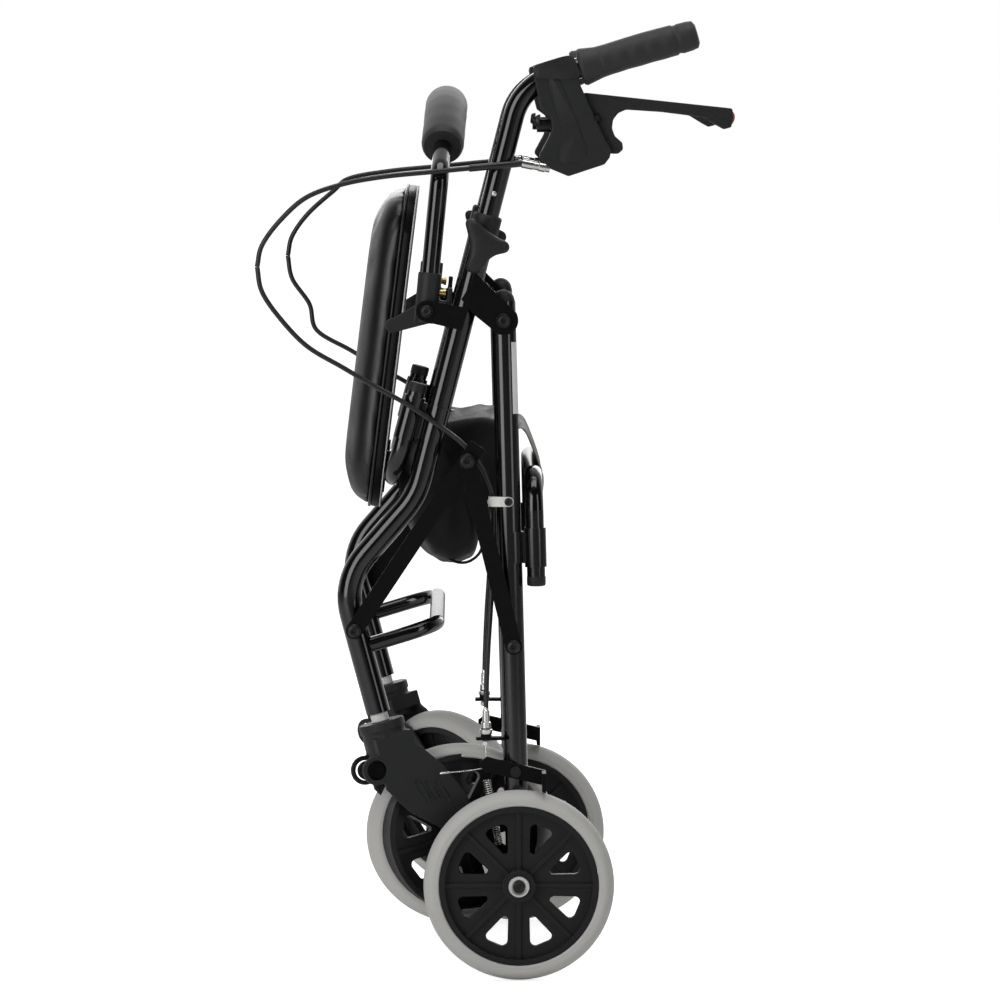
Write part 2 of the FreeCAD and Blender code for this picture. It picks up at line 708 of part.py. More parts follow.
def handle_path():
    foot = LEG_TOP - LEG_UP * HANDLE_INSERT
    tip = GRIP_FOOT + GRIP_DIRECTION * (GRIP_LENGTH - 6)
    return rounded_path([foot, HANDLE_TURN, tip], [HANDLE_BEND])


def handle_tube():
    path = handle_path()
    tube = rod_along(path, HANDLE_R).cut(rod_along(path, HANDLE_BORE_R))
    return tube.cut(rod(BUTTON_POINT, BUTTON_POINT - vec(0, 30, 0), 3.2))


def hand_grip():
    """Soft grip with a flared inner flange and a domed end."""
    bore = HANDLE_R + GAP
    profile = [
        (bore, 0),
        (GRIP_FLARE_R, 0),
        (GRIP_FLARE_R, 5),
        (GRIP_R + 0.5, 16),
        (GRIP_R, 60),
        (GRIP_R, GRIP_LENGTH - 22),
        (GRIP_END_R, GRIP_LENGTH - 14),
        (GRIP_END_R - 1, GRIP_LENGTH - 2),
        (GRIP_END_R - 5, GRIP_LENGTH + 3),
        (0, GRIP_LENGTH + 5),
        (0, GRIP_LENGTH - 5),
        (bore, GRIP_LENGTH - 5),
    ]
    return revolved(profile, GRIP_FOOT, GRIP_DIRECTION)


HOUSING = [(15.4, 955.1), (52.4, 965.8), (58.3, 961.2), (64.4, 934.9), (89.4, 879.9)]
HOUSING += [(96.6, 868.0), (95.0, 859.7), (89.4, 852.5), (51.9, 840.1), (30.9, 848.8)]
HOUSING += [(21.3, 859.7), (21.8, 863.2), (30.9, 880.0), (34.5, 889.5), (33.3, 901.5)]
HOUSING += [(23.7, 908.5), (19.0, 927.7), (15.4, 946.8)]


def brake_housing():
    """Moulded housing clamped under the handle's bend, slotted for the lever."""
    body = plate(HOUSING, -LEG_Y - HOUSING_HALF, -LEG_Y + HOUSING_HALF)
    clamp = rod(
        HANDLE_TURN + GRIP_DIRECTION * 22, HANDLE_TURN + GRIP_DIRECTION * 52, HANDLE_R + 4
    )
    slot = plate(
        [(62.0, 944.0), (130.0, 944.0), (130.0, 846.0), (62.0, 846.0)],
        -LEG_Y - SLOT_HALF,
        -LEG_Y + SLOT_HALF,
    )
    pin = cross_rod(*LEVER_PIVOT, -LEG_Y - 30, -LEG_Y + 30, 3.0 + FIT)
    body = body.cut(slot).fuse(clamp)
    return body.cut(pin).cut(rod_along(handle_path(), HANDLE_R + GAP))


LEVER = [(68.0, 927.5), (110.0, 923.0), (223.0, 911.0), (224.5, 903.0), (222.0, 891.0)]
LEVER += [(214.0, 889.0), (205.0, 894.0), (193.0, 901.5), (150.0, 907.0), (112.0, 909.5)]
LEVER += [(104.0, 906.0), (98.5, 899.0), (97.5, 890.0), (100.5, 882.0), (108.5, 875.0)]
LEVER += [(109.0, 868.0), (104.0, 863.5), (96.0, 863.5), (84.0, 880.0), (70.0, 900.0)]


def brake_lever():
    """Finger lever with two end lobes and a tail, turning on a pin in the housing."""
    blade = plate(LEVER, -LEG_Y - LEVER_HALF, -LEG_Y + LEVER_HALF)
    root = cross_rod(*LEVER_PIVOT, -LEG_Y - LEVER_HALF, -LEG_Y + LEVER_HALF, 13.0)
    hole = cross_rod(*LEVER_PIVOT, -LEG_Y - 30, -LEG_Y + 30, 3.0 + FIT)
    return blade.fuse(root).removeSplitter().cut(hole)


ADJUSTER_Y = -LEG_Y - HOUSING_HALF + 4.0


def brake_fittings():
    """Lever pin, clamp screw and the upper cable adjuster."""
    px, pz = LEVER_PIVOT
    pin = cross_rod(px, pz, -LEG_Y - HOUSING_HALF + 1.0, -LEG_Y + HOUSING_HALF - 1.0, 3.0)
    screw = rod(vec(19.0, -LEG_Y, 893.0), vec(34.0, -LEG_Y, 893.0), 7.0)
    screw = screw.cut(plate(HOUSING, -LEG_Y - HOUSING_HALF, -LEG_Y + HOUSING_HALF))
    adjuster = rod(vec(5.7, ADJUSTER_Y, 853.5), vec(29.0, ADJUSTER_Y, 849.0), 4.2)
    adjuster = adjuster.cut(plate(HOUSING, -LEG_Y - HOUSING_HALF, -LEG_Y + HOUSING_HALF))
    return [pin, screw, adjuster]


def snap_button():
    """Locking button that springs out of the handle tube."""
    face = BUTTON_POINT - vec(0, HANDLE_R + 2.2, 0)
    pin = rod(face, face + vec(0, 6.5, 0), 3.1)
    head = Part.makeSphere(3.1, face)
    return pin.fuse(head).removeSplitter()


def wing_knob():
    """Three-winged clamp knob with its screw."""
    face = -LEG_Y - LEG_R - BOSS_LENGTH - 1.0
    centre = vec(KNOB_POINT.x, 0, KNOB_POINT.z)
    height = 13.0
    hub = cross_rod(centre.x, centre.z, face - height - 4, face, 12.5)
    knob = hub
    for angle in (112.0, 352.0, 232.0):
        reach = 22.0
        tip = (
            centre.x + reach * math.cos(math.radians(angle)),
            centre.z + reach * math.sin(math.radians(angle)),
        )
        wing = strap((centre.x, centre.z), tip, 6.5, face - height, face - 1)
        knob = knob.fuse(wing)
    stud = cross_rod(centre.x, centre.z, face, -LEG_Y - LEG_BORE_R, STUD_R)
    return knob.fuse(stud).removeSplitter()


# --- casters and wheels ----------------------------------------------------------------
STEM_UP = vec(-math.sin(math.radians(STEM_LEAN_DEG)), 0, math.cos(math.radians(STEM_LEAN_DEG)))


def caster_placement(side):
    """Local Z up the stem, local X along the trail; swivelled, leant and moved to the leg."""
    swivel = FreeCAD.Rotation(vec(0, 0, 1), CASTER_SWIVEL_DEG[side])
    lean = FreeCAD.Rotation(vec(0, 1, 0), -STEM_LEAN_DEG)
    return FreeCAD.Placement(vec(STEM_TOP[0], -LEG_Y, STEM_TOP[1]), lean.multiply(swivel))


def placed(shape, side):
    """Puts a caster piece drawn in its own frame on the named side."""
    shape.Placement = caster_placement(side).multiply(shape.Placement)
    return on_side(shape, side)


def caster_stem():
    """Stem pin in the leg's end, with its bush."""
    pin = rod(vec(0, 0, -34), vec(0, 0, 34), STEM_R)
    bush = rod(vec(0, 0, -4.5), vec(0, 0, 3.5), 9.3)
    plug = rod(vec(0, 0, 4.6), vec(0, 0, 30), LEG_BORE_R - GAP)
    stem = pin.fuse(bush).fuse(plug)
    stem.Placement = caster_placement("left")
    return stem


FORK_LEG = [(-18, -30), (21, -34), (30, -42), (47, -66), (62, -98), (67, -118), (67, -146)]
FORK_LEG += [(44, -149), (24, -127), (-4, -101), (-20, -74)]
KNUCKLE = (-24.5, -52.0)
KNUCKLE_R = 15.5
KNUCKLE_BORE_R = 10.5


def fork():
    """Moulded caster fork: a barrel and cap ring round the stem, a crown and two legs."""
    half = FORK_GAP + FORK_PLATE
    body = Part.makeCone(21.5, 23.0, 28, vec(0, 0, -42))
    body = body.fuse(rod(vec(0, 0, -14), vec(0, 0, -5), 24.5))
    for y0 in (-half, FORK_GAP):
        leg = plate(FORK_LEG, y0, y0 + FORK_PLATE)
        leg = leg.fuse(cross_rod(TRAIL, -CASTER_DROP, y0, y0 + FORK_PLATE, 13.0))
        leg = leg.fuse(cross_rod(*KNUCKLE, y0, y0 + FORK_PLATE, KNUCKLE_R))
        body = body.fuse(leg)
    crown = Part.makeBox(42, 2 * half, 16, vec(-18, -half, -36))
    body = body.fuse(crown)
    body = body.cut(rod(vec(0, 0, -50), vec(0, 0, 0), STEM_R + FIT))
    body = body.cut(cross_rod(TRAIL, -CASTER_DROP, -60, 60, AXLE_R + 1 + FIT))
    body = body.cut(cross_rod(*KNUCKLE, -half - 1, -12, KNUCKLE_BORE_R))
    body = body.cut(cross_rod(*KNUCKLE, 12, half + 1, KNUCKLE_BORE_R))
    tyre_room = cross_rod(TRAIL, -CASTER_DROP, -FORK_GAP, FORK_GAP, WHEEL_R + 3)
    body = body.cut(tyre_room)
    for step in range(3):
        start = (14 + 10.5 * step, -76 - 3 * step)
        end = (start[0] + 7, start[1] - 20)
        for y0 in (-half - 1, half - 1):
            body = body.cut(strap(start, end, 2.6, y0, y0 + 2))
    return body


def fork_axle():
    """Headed bolt through the fork's legs, carrying the front wheel."""
    half = FORK_GAP + FORK_PLATE
    return headed_pin(TRAIL, -CASTER_DROP, -half - 0.3, half + 0.3, AXLE_R + 1, 7.0, 4.0)


def wheel_hub():
    """Spoked hub about the Y axis, centred on the origin."""
    rim = Part.makeCylinder(TYRE_SEAT_R - GAP, 26, vec(0, -13, 0), vec(0, 1, 0))
    rim = rim.cut(Part.makeCylinder(TYRE_SEAT_R - 6, 30, vec(0, -15, 0), vec(0, 1, 0)))
    web = Part.makeCylinder(TYRE_SEAT_R - 5, 9, vec(0, -4.5, 0), vec(0, 1, 0))
    boss = Part.makeCylinder(HUB_BOSS_R, 32, vec(0, -16, 0), vec(0, 1, 0))
    hub = rim.fuse(web).fuse(boss)
    pitch = 360.0 / SPOKES
    for n in range(SPOKES):
        turn = FreeCAD.Rotation(vec(0, 1, 0), pitch * n)
        rib = Part.makeBox(TYRE_SEAT_R - 18, 15, 4, vec(12, -7.5, -2))
        rib.Placement = FreeCAD.Placement(vec(0, 0, 0), turn)
        hub = hub.fuse(rib)
    for n in range(SPOKES):
        turn = FreeCAD.Rotation(vec(0, 1, 0), pitch * (n + 0.5))
        window = [(35.5, -2.5), (66.0, -14.3), (66.0, 14.3), (35.5, 2.5)]
        opening = plate(window, -9, 9)
        upright = [e for e in opening.Edges if abs(e.tangentAt(0).y) > 0.99]
        outer = [e for e in upright if e.Vertexes[0].X > 50]
        opening = opening.makeFillet(5.5, outer)
        inner = [e for e in opening.Edges if abs(e.tangentAt(0).y) > 0.99 and e.Vertexes[0].X < 40]
        opening = opening.makeFillet(2.4, inner)
        opening.Placement = FreeCAD.Placement(vec(0, 0, 0), turn)
        hub = hub.cut(opening)
    hub = hub.cut(Part.makeCylinder(AXLE_R + 2 + FIT, 60, vec(0, -30, 0), vec(0, 1, 0)))
    return hub


def tyre():
    """Solid tyre with a crowned tread, about the Y axis."""
    low = vec(TYRE_SEAT_R, -13, 0)
    side_a = vec(TYRE_SEAT_R + 5, -TYRE_HALF, 0)
    crown = vec(WHEEL_R, 0, 0)
    side_b = vec(TYRE_SEAT_R + 5, TYRE_HALF, 0)
    high = vec(TYRE_SEAT_R, 13, 0)
    edges = [Part.makeLine(low, side_a), Part.Arc(side_a, crown, side_b).toShape()]
    edges += [Part.makeLine(side_b, high), Part.makeLine(high, low)]
    return Part.Face(Part.Wire(edges)).revolve(vec(0, 0, 0), vec(0, 1, 0), 360)


def front_wheel_piece(shape, side):
    shape.Placement = FreeCAD.Placement(vec(TRAIL, 0, -CASTER_DROP), FreeCAD.Rotation())
    return placed(shape, side)


def rear_wheel_piece(shape, side):
    shape.Placement = FreeCAD.Placement(vec(0, -REAR_WHEEL_Y, AXLE_Z), FreeCAD.Rotation())
    return on_side(shape, side)


# --- brake arms, cables and bag --------------------------------------------------------
def brake_arm():
    """Channel-shaped arm outboard of the leg, its end bent down over the rear tyre."""
    tilt = math.radians(ARM_TILT_DEG)
    ax, az = ARM_PIVOT
    along = (math.cos(tilt), math.sin(tilt))
    tip = (ax + ARM_RIGHT * along[0], az + ARM_RIGHT * along[1])
    tail = (ax - ARM_LEFT * along[0], az - ARM_LEFT * along[1])
    outer = -LEG_Y - 22.0
    half = 8.0
    outline = [(tail[0] + 8, tail[1] + half), (tip[0], tip[1] + half), (tip[0], tip[1] - half)]
    outline += [(tail[0] + 6, tail[1] - half), (tail[0], tail[1] - 2), (tail[0], tail[1] + 2)]
    arm = plate(outline, outer, outer + 3)
    lip = plate([outline[0], outline[1], (tip[0], tip[1] + 3.2), (tail[0] + 8, tail[1] + 3.2)],
                outer, outer + 7)
    shoe_low = AXLE_Z + WHEEL_R - 5
    shoe = Part.makeBox(4, 34, tip[1] + half - shoe_low, vec(tip[0] - 4, outer - 31, shoe_low))
    body = arm.fuse(lip).fuse(shoe)
    tread = Part.makeCylinder(WHEEL_R + 1.6, 60, vec(0, -REAR_WHEEL_Y - 30, AXLE_Z), vec(0, 1, 0))
    body = body.cut(tread)
    return body.cut(cross_rod(ax, az, -LEG_Y - 60, -LEG_Y, 3.0 + FIT))


def brake_cable(bulge):
    """Cable from the lever, in a loop ahead of the frame, down to the brake."""
    outside = -LEG_Y - 17.5
    inside = -LEG_Y - 7.0
    points = [vec(4.0, ADJUSTER_Y - 1, 853.8), vec(-20.0, outside, 851.0)]
    points += [vec(-89.0, outside, 845.0), vec(-184.0, outside, 832.0)]
    points += [vec(-248.0 + bulge, outside, 796.0), vec(-273.0 + bulge, outside, 748.0)]
    points += [vec(-248.0 + bulge, outside, 695.0), vec(-184.0, outside, 641.0)]
    points += [vec(-118.0, outside, 603.0), vec(-85.0, outside - 0.5, 581.0)]
    points += [vec(-58.0, inside - 2, 560.0)]
    points += [vec(-36.0, inside, 530.0), vec(CLIP_X, CLIP_LOOP_Y, 508.0)]
    points += [vec(CLIP_X, CLIP_LOOP_Y, 492.0), vec(-29.0, inside - 1, 393.0)]
    points += [vec(-33.5, -LEG_Y - 8, 300.0), vec(-34.3, -LEG_Y - 8, 281.0)]
    curve = Part.BSplineCurve()
    curve.interpolate(points)
    return rod_along(Part.Wire(curve.toShape()), CABLE_R)


def storage_bag():
    """Slack pouch slung between the two seat bars."""
    outline = [(-112.0, 560.0), (-60.0, 575.0), (-2.0, 560.0), (0.0, 470.0), (-20.0, 446.0)]
    outline += [(-92.0, 446.0), (-110.0, 480.0)]
    return plate(outline, -160.0, 160.0)


def build():
    save("front_leg_tubes", both(front_leg_tube()))
    plates = []
    for cheek in bracket_plates():
        plates += both(cheek)
    save("leg_bracket_plates", plates)
    save("front_seat_bar", [front_seat_bar()])
    save("front_bar_saddles", both(front_saddle()))
    save("lower_crossbar", [lower_crossbar()])
    save("front_frame_bolts", front_frame_bolts())
    save("handle_collars", both(handle_collar()))
    save("knob_bosses", both(knob_boss()))
    save("caster_stems", both(caster_stem()))
    save("brake_cables", [brake_cable(0), mirrored(brake_cable(20))])
    save("storage_bag", [storage_bag()])

    save("rear_leg_tubes", both(rear_leg_tube()))
    save("rear_leg_plugs", both(rear_leg_plug()))
    save("rear_seat_bar", [rear_seat_bar()])
    save("rear_bar_saddles", both(rear_saddle()))
    save(
        "rear_frame_bolts",
        both(brace_spacer_screw()) + both(arm_pin()) + both(clip_screw()),
    )
    save("cable_clips", both(cable_clip()))
    stops = []
    for piece in cable_stop():
        stops += both(piece)
    save("cable_stops", stops)
    save("rear_axle_bolts", both(rear_axle()))
    save("brake_return_springs", both(return_spring()))
    save("fold_pivot_bolts", both(fold_bolt()))

    save("front_brace_links", both(front_brace()))
    save("rear_brace_links", both(rear_brace()))
    save("brace_middle_rivets", both(middle_rivet()))

    save("seat_board", [seat_board()])
    save("seat_cushion", [seat_cushion()])
    save("seat_hinge_clips", seat_hinge_clips())
    save("backrest_bar", [backrest_bar()])
    save("backrest_foam", [backrest_foam()])
    save("backrest_sockets", both(backrest_socket()))
    save("backrest_release_buttons", both(release_button()))

    for side in SIDES:
        save(f"handle_tube_{side}", [on_side(handle_tube(), side)])
        save(f"hand_grip_{side}", [on_side(hand_grip(), side)])
        save(f"brake_housing_{side}", [on_side(brake_housing(), side)])
        save(f"brake_fittings_{side}", [on_side(s, side) for s in brake_fittings()])
        save(f"brake_lever_{side}", [on_side(brake_lever(), side)])
        save(f"snap_button_{side}", [on_side(snap_button(), side)])
        save(f"wing_knob_{side}", [on_side(wing_knob(), side)])
        save(f"caster_fork_{side}", [placed(fork(), side)])
        save(f"fork_axle_{side}", [placed(fork_axle(), side)])
        save(f"front_wheel_hub_{side}", [front_wheel_piece(wheel_hub(), side)])
        save(f"front_tyre_{side}", [front_wheel_piece(tyre(), side)])
        save(f"rear_wheel_hub_{side}", [rear_wheel_piece(wheel_hub(), side)])
        save(f"rear_tyre_{side}", [rear_wheel_piece(tyre(), side)])
        save(f"brake_arm_{side}", [on_side(brake_arm(), side)])


os.makedirs("parts", exist_ok=True)
build()
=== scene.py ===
"""Looks of a folded four-wheel walker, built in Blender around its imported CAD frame."""

import json
import math

import bmesh
import bpy
import numpy as np
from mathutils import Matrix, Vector, noise


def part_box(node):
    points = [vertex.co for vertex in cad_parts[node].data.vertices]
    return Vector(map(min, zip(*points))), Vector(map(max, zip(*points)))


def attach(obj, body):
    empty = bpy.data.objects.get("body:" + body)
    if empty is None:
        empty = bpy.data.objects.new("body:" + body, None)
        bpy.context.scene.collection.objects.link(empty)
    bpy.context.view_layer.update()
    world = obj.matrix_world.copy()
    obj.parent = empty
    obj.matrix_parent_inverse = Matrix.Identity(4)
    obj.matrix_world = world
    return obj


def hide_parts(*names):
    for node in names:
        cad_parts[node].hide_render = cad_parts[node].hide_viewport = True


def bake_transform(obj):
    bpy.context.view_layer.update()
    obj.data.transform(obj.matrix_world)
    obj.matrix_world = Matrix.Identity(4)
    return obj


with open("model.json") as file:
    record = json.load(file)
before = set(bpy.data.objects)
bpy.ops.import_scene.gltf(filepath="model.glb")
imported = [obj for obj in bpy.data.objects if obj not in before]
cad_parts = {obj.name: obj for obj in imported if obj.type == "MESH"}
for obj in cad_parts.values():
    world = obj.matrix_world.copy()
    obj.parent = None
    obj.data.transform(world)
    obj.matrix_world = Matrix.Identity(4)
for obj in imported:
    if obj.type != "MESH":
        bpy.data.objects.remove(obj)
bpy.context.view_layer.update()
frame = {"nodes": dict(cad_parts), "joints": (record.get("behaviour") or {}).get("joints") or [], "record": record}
NODES = frame["nodes"]
JOINTS = {joint["name"]: joint for joint in frame["joints"]}
SIDES = {"left": -1.0, "right": 1.0}
MM = 0.001


def joint_place(name):
    return Vector(JOINTS[name]["pos_m"])


# Driving places, in metres, read from the frame.
LEG_R = 12.7 * MM
LEG_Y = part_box("rear_leg_tubes")[1].y - LEG_R
FOLD = joint_place("fold_open")
HINGE = joint_place("seat_flip")
BACKREST_PIVOT = joint_place("backrest_tilt")
AXLE_Z = joint_place("rear_wheel_left_spin").z


# --- materials ---------------------------------------------------------------------------
def link(tree, source, target):
    tree.links.new(source, target)


def math_node(tree, operation, first, second):
    """A maths node; each input is a socket or a number."""
    node = tree.nodes.new("ShaderNodeMath")
    node.operation = operation
    for slot, value in enumerate((first, second)):
        if isinstance(value, (int, float)):
            node.inputs[slot].default_value = value
        else:
            link(tree, value, node.inputs[slot])
    return node.outputs[0]


def coordinates(tree, stretch=(1.0, 1.0, 1.0)):
    source = tree.nodes.new("ShaderNodeTexCoord")
    mapping = tree.nodes.new("ShaderNodeMapping")
    mapping.inputs["Scale"].default_value = stretch
    link(tree, source.outputs["Object"], mapping.inputs["Vector"])
    return mapping.outputs["Vector"]


def noise_texture(tree, scale, detail=4.0, stretch=(1.0, 1.0, 1.0)):
    texture = tree.nodes.new("ShaderNodeTexNoise")
    texture.inputs["Scale"].default_value = scale
    texture.inputs["Detail"].default_value = detail
    link(tree, coordinates(tree, stretch), texture.inputs["Vector"])
    return texture.outputs["Fac"]


def cell_texture(tree, scale, feature="F1"):
    texture = tree.nodes.new("ShaderNodeTexVoronoi")
    texture.feature = feature
    texture.inputs["Scale"].default_value = scale
    link(tree, coordinates(tree), texture.inputs["Vector"])
    return texture.outputs["Distance"]


def weave_texture(tree, scale):
    """Over-and-under threads from two crossing waves."""
    waves = []
    for direction in ("Y", "Z"):
        wave = tree.nodes.new("ShaderNodeTexWave")
        wave.bands_direction = direction
        wave.inputs["Scale"].default_value = scale
        wave.inputs["Distortion"].default_value = 0.4
        link(tree, coordinates(tree), wave.inputs["Vector"])
        waves.append(wave.outputs["Fac"])
    return math_node(tree, "MAXIMUM", waves[0], waves[1])


def grain_texture(tree, kind, scale):
    if kind == "leather":
        return math_node(
            tree,
            "MULTIPLY",
            cell_texture(tree, scale, "SMOOTH_F1"),
            math_node(tree, "ADD", noise_texture(tree, scale * 0.3), 0.4),
        )
    if kind == "cells":
        return cell_texture(tree, scale)
    if kind == "weave":
        return weave_texture(tree, scale)
    if kind == "brushed":
        return noise_texture(tree, scale, 2.0, (1.0, 1.0, 0.06))
    return noise_texture(tree, scale)


def edge_highlight_mask(tree, bevel_normal):
    """Bright where the rounded normal leaves the flat one, which is along edges; it places the painted edge
    highlight.
    """
    geometry = tree.nodes.new("ShaderNodeNewGeometry")
    product = tree.nodes.new("ShaderNodeVectorMath")
    product.operation = "DOT_PRODUCT"
    link(tree, bevel_normal, product.inputs[0])
    link(tree, geometry.outputs["Normal"], product.inputs[1])
    away = math_node(tree, "SUBTRACT", 1.0, product.outputs["Value"])
    return math_node(tree, "MULTIPLY", away, 3.0)


def mix_colour(tree, factor, first, second):
    mix = tree.nodes.new("ShaderNodeMix")
    mix.data_type = "RGBA"
    link(tree, factor, mix.inputs["Factor"])
    for socket, value in ((mix.inputs[6], first), (mix.inputs[7], second)):
        if isinstance(value, (tuple, list)):
            socket.default_value = (*value, 1.0)
        else:
            link(tree, value, socket)
    return mix.outputs[2]


def surface(
    name,
    colour,
    rough,
    metal=0.0,
    coat=0.0,
    sheen=0.0,
    grain="noise",
    grain_scale=900.0,
    grain_depth=0.03,
    mottle=0.18,
    mottle_scale=25.0,
    spread=0.06,
    edge=0.0,
    edge_highlight_colour=(0.12, 0.12, 0.12),
    specular=0.5,
):
    """A principled material with colour variation, uneven roughness, fine relief and a painted highlight along its
    edges.
    """
    material = bpy.data.materials.new(name)
    material.use_nodes = True
    tree = material.node_tree
    shader = tree.nodes["Principled BSDF"]
    dark = tuple(c * (1 - mottle) for c in colour)
    light = tuple(c * (1 + mottle) for c in colour)
    tone = mix_colour(tree, noise_texture(tree, mottle_scale), dark, light)
    bump = tree.nodes.new("ShaderNodeBump")
    bump.inputs["Strength"].default_value = 0.6
    bump.inputs["Distance"].default_value = grain_depth * MM
    link(tree, grain_texture(tree, grain, grain_scale), bump.inputs["Height"])
    if edge > 0:
        bevel = tree.nodes.new("ShaderNodeBevel")
        bevel.samples = 4
        bevel.inputs["Radius"].default_value = edge * MM
        link(tree, bevel.outputs["Normal"], bump.inputs["Normal"])
        painted_edge_highlight = edge_highlight_mask(tree, bevel.outputs["Normal"])
        # Painted highlight: a lighter colour is mixed in along every edge.
        tone = mix_colour(tree, painted_edge_highlight, tone, edge_highlight_colour)
    patches = noise_texture(tree, mottle_scale * 4)
    swing = math_node(tree, "MULTIPLY", math_node(tree, "SUBTRACT", patches, 0.5), 2 * spread)
    link(tree, math_node(tree, "ADD", swing, rough), shader.inputs["Roughness"])
    link(tree, tone, shader.inputs["Base Color"])
    link(tree, bump.outputs["Normal"], shader.inputs["Normal"])
    shader.inputs["Metallic"].default_value = metal
    shader.inputs["Coat Weight"].default_value = coat
    shader.inputs["Coat Roughness"].default_value = 0.08
    shader.inputs["Sheen Weight"].default_value = sheen
    shader.inputs["Specular IOR Level"].default_value = specular
    return material


# The lighter edge colours given below are painted highlights along the edges.
MATERIALS = {
    "frame_black": surface(
        "gloss_black_paint", (0.0022, 0.0022, 0.0026), 0.14, coat=0.35, grain_scale=350,
        grain_depth=0.02, spread=0.04, edge=0.5, edge_highlight_colour=(0.012, 0.012, 0.012),
    ),
    "link_black": surface(
        "satin_black_steel", (0.003, 0.003, 0.003), 0.42, grain_scale=1500,
        grain_depth=0.02, edge=0.5, edge_highlight_colour=(0.02, 0.02, 0.02), specular=0.12,
    ),
    "plastic_charcoal": surface(
        "moulded_charcoal_plastic", (0.015, 0.0155, 0.0165), 0.5, grain_scale=1400,
        grain_depth=0.05, edge=0.7, edge_highlight_colour=(0.035, 0.036, 0.038), specular=0.3,
    ),
    "hub_black": surface(
        "moulded_black_hub", (0.006, 0.006, 0.0065), 0.46, grain_scale=1400,
        grain_depth=0.05, edge=0.7, edge_highlight_colour=(0.03, 0.03, 0.032), specular=0.35,
    ),
    "grip_black": surface(
        "grip_rubber", (0.014, 0.014, 0.015), 0.62, grain="cells", grain_scale=1100,
        grain_depth=0.08, sheen=0.1,
    ),
    "foam_black": surface(
        "foam_sleeve", (0.003, 0.003, 0.003), 0.6, grain="cells", grain_scale=900,
        grain_depth=0.12, sheen=0.15,
    ),
    "tyre_grey": surface(
        "grey_tyre_rubber", (0.5, 0.495, 0.475), 0.55, grain_scale=700,
        grain_depth=0.04, mottle=0.06, mottle_scale=14, specular=0.3,
    ),
    "vinyl_black": surface(
        "upholstery_vinyl", (0.004, 0.0042, 0.005), 0.36, grain="leather", grain_scale=420,
        grain_depth=0.16, spread=0.05,
    ),
    "bag_black": surface(
        "nylon_cloth", (0.003, 0.003, 0.003), 0.55, grain="weave", grain_scale=320,
        grain_depth=0.12, sheen=0.04, mottle=0.3, specular=0.3,
    ),
    "steel_zinc": surface(
        "zinc_plated_steel", (0.72, 0.72, 0.7), 0.26, metal=1.0, grain="brushed",
        grain_scale=900, grain_depth=0.02, mottle=0.08, edge=0.25,
        edge_highlight_colour=(0.85, 0.85, 0.85),
    ),
    "bolt_black": surface(
        "black_oxide_steel", (0.02, 0.02, 0.021), 0.35, metal=0.6, grain_scale=900,
        edge=0.35, edge_highlight_colour=(0.2, 0.2, 0.2),
    ),
    "bush_white": surface(
        "white_nylon", (0.8, 0.8, 0.77), 0.4, grain_scale=600, mottle=0.04, edge=0.3,
        edge_highlight_colour=(0.85, 0.85, 0.83),
    ),
    "cable_black": surface(
        "cable_sheath", (0.012, 0.012, 0.012), 0.34, grain_scale=1200, grain_depth=0.03,
    ),
    "brass": surface(
        "brass_pin", (0.8, 0.58, 0.2), 0.28, metal=1.0, grain="brushed", mottle=0.08,
    ),
    "silver_trim": surface(
        "pale_trim", (0.55, 0.55, 0.54), 0.4, grain_scale=500, mottle=0.06,
    ),
    "label": surface(
        "blank_label", (0.82, 0.82, 0.8), 0.3, grain_scale=500, mottle=0.03,
    ),
    "accent": surface(
        "orange_accent", (0.5, 0.12, 0.02), 0.45, grain_scale=900, mottle=0.1,
    ),
    "binding": surface(
        "edge_binding", (0.3, 0.27, 0.22), 0.6, grain="weave", grain_scale=500,
        grain_depth=0.1, mottle=0.15,
    ),
    "floor": surface(
        "pale_floor", (0.8, 0.8, 0.8), 0.7, grain_scale=60, mottle=0.01, specular=0.1
    ),
}


# --- mesh helpers ------------------------------------------------------------------------
def place(x, z, out, side):
    """A point given in millimetres: out is the distance outboard of the leg's plane."""
    return Vector((x * MM, SIDES[side] * (LEG_Y + out * MM), z * MM))


def add_piece(name, points, faces, material, smooth=True):
    mesh = bpy.data.meshes.new(name)
    mesh.from_pydata([tuple(p) for p in points], [], faces)
    built = bmesh.new()
    built.from_mesh(mesh)
    bmesh.ops.remove_doubles(built, verts=built.verts, dist=1e-7)
    bmesh.ops.recalc_face_normals(built, faces=built.faces)
    built.to_mesh(mesh)
    built.free()
    mesh.polygons.foreach_set("use_smooth", [smooth] * len(mesh.polygons))
    mesh.materials.append(MATERIALS[material])
    piece = bpy.data.objects.new(name, mesh)
    bpy.context.scene.collection.objects.link(piece)
    return piece


def settle(piece, body, stands_for=()):
    """Puts a finished piece on its body."""
    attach(piece, body)
    if stands_for:
        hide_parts(*stands_for)
    return piece


def bake(piece):
    """Applies the piece's modifiers to its mesh."""
    graph = bpy.context.evaluated_depsgraph_get()
    mesh = bpy.data.meshes.new_from_object(piece.evaluated_get(graph))
    piece.modifiers.clear()
    piece.data = mesh
    return piece


def shade_smooth(piece):
    piece.data.polygons.foreach_set("use_smooth", [True] * len(piece.data.polygons))
    return piece


def sharpen(piece, angle=35.0):
    """Smooth shading with sharp edges wherever two faces meet at more than the angle."""
    shade_smooth(piece)
    piece.data.set_sharp_from_angle(angle=math.radians(angle))
    return piece


def subdivided(piece):
    """Splits every face once, rounding the shape, and shades it smooth."""
    subdivide = piece.modifiers.new("subdivide", "SUBSURF")
    subdivide.levels = 1
    return shade_smooth(bake(piece))


def spline_spot(a, b, c, d, t):
    """The point at share t between b and c on a Catmull-Rom curve."""
    spot = 2 * b + (c - a) * t + (2 * a - 5 * b + 4 * c - d) * t**2
    return (spot + (3 * b - 3 * c + d - a) * t**3) / 2


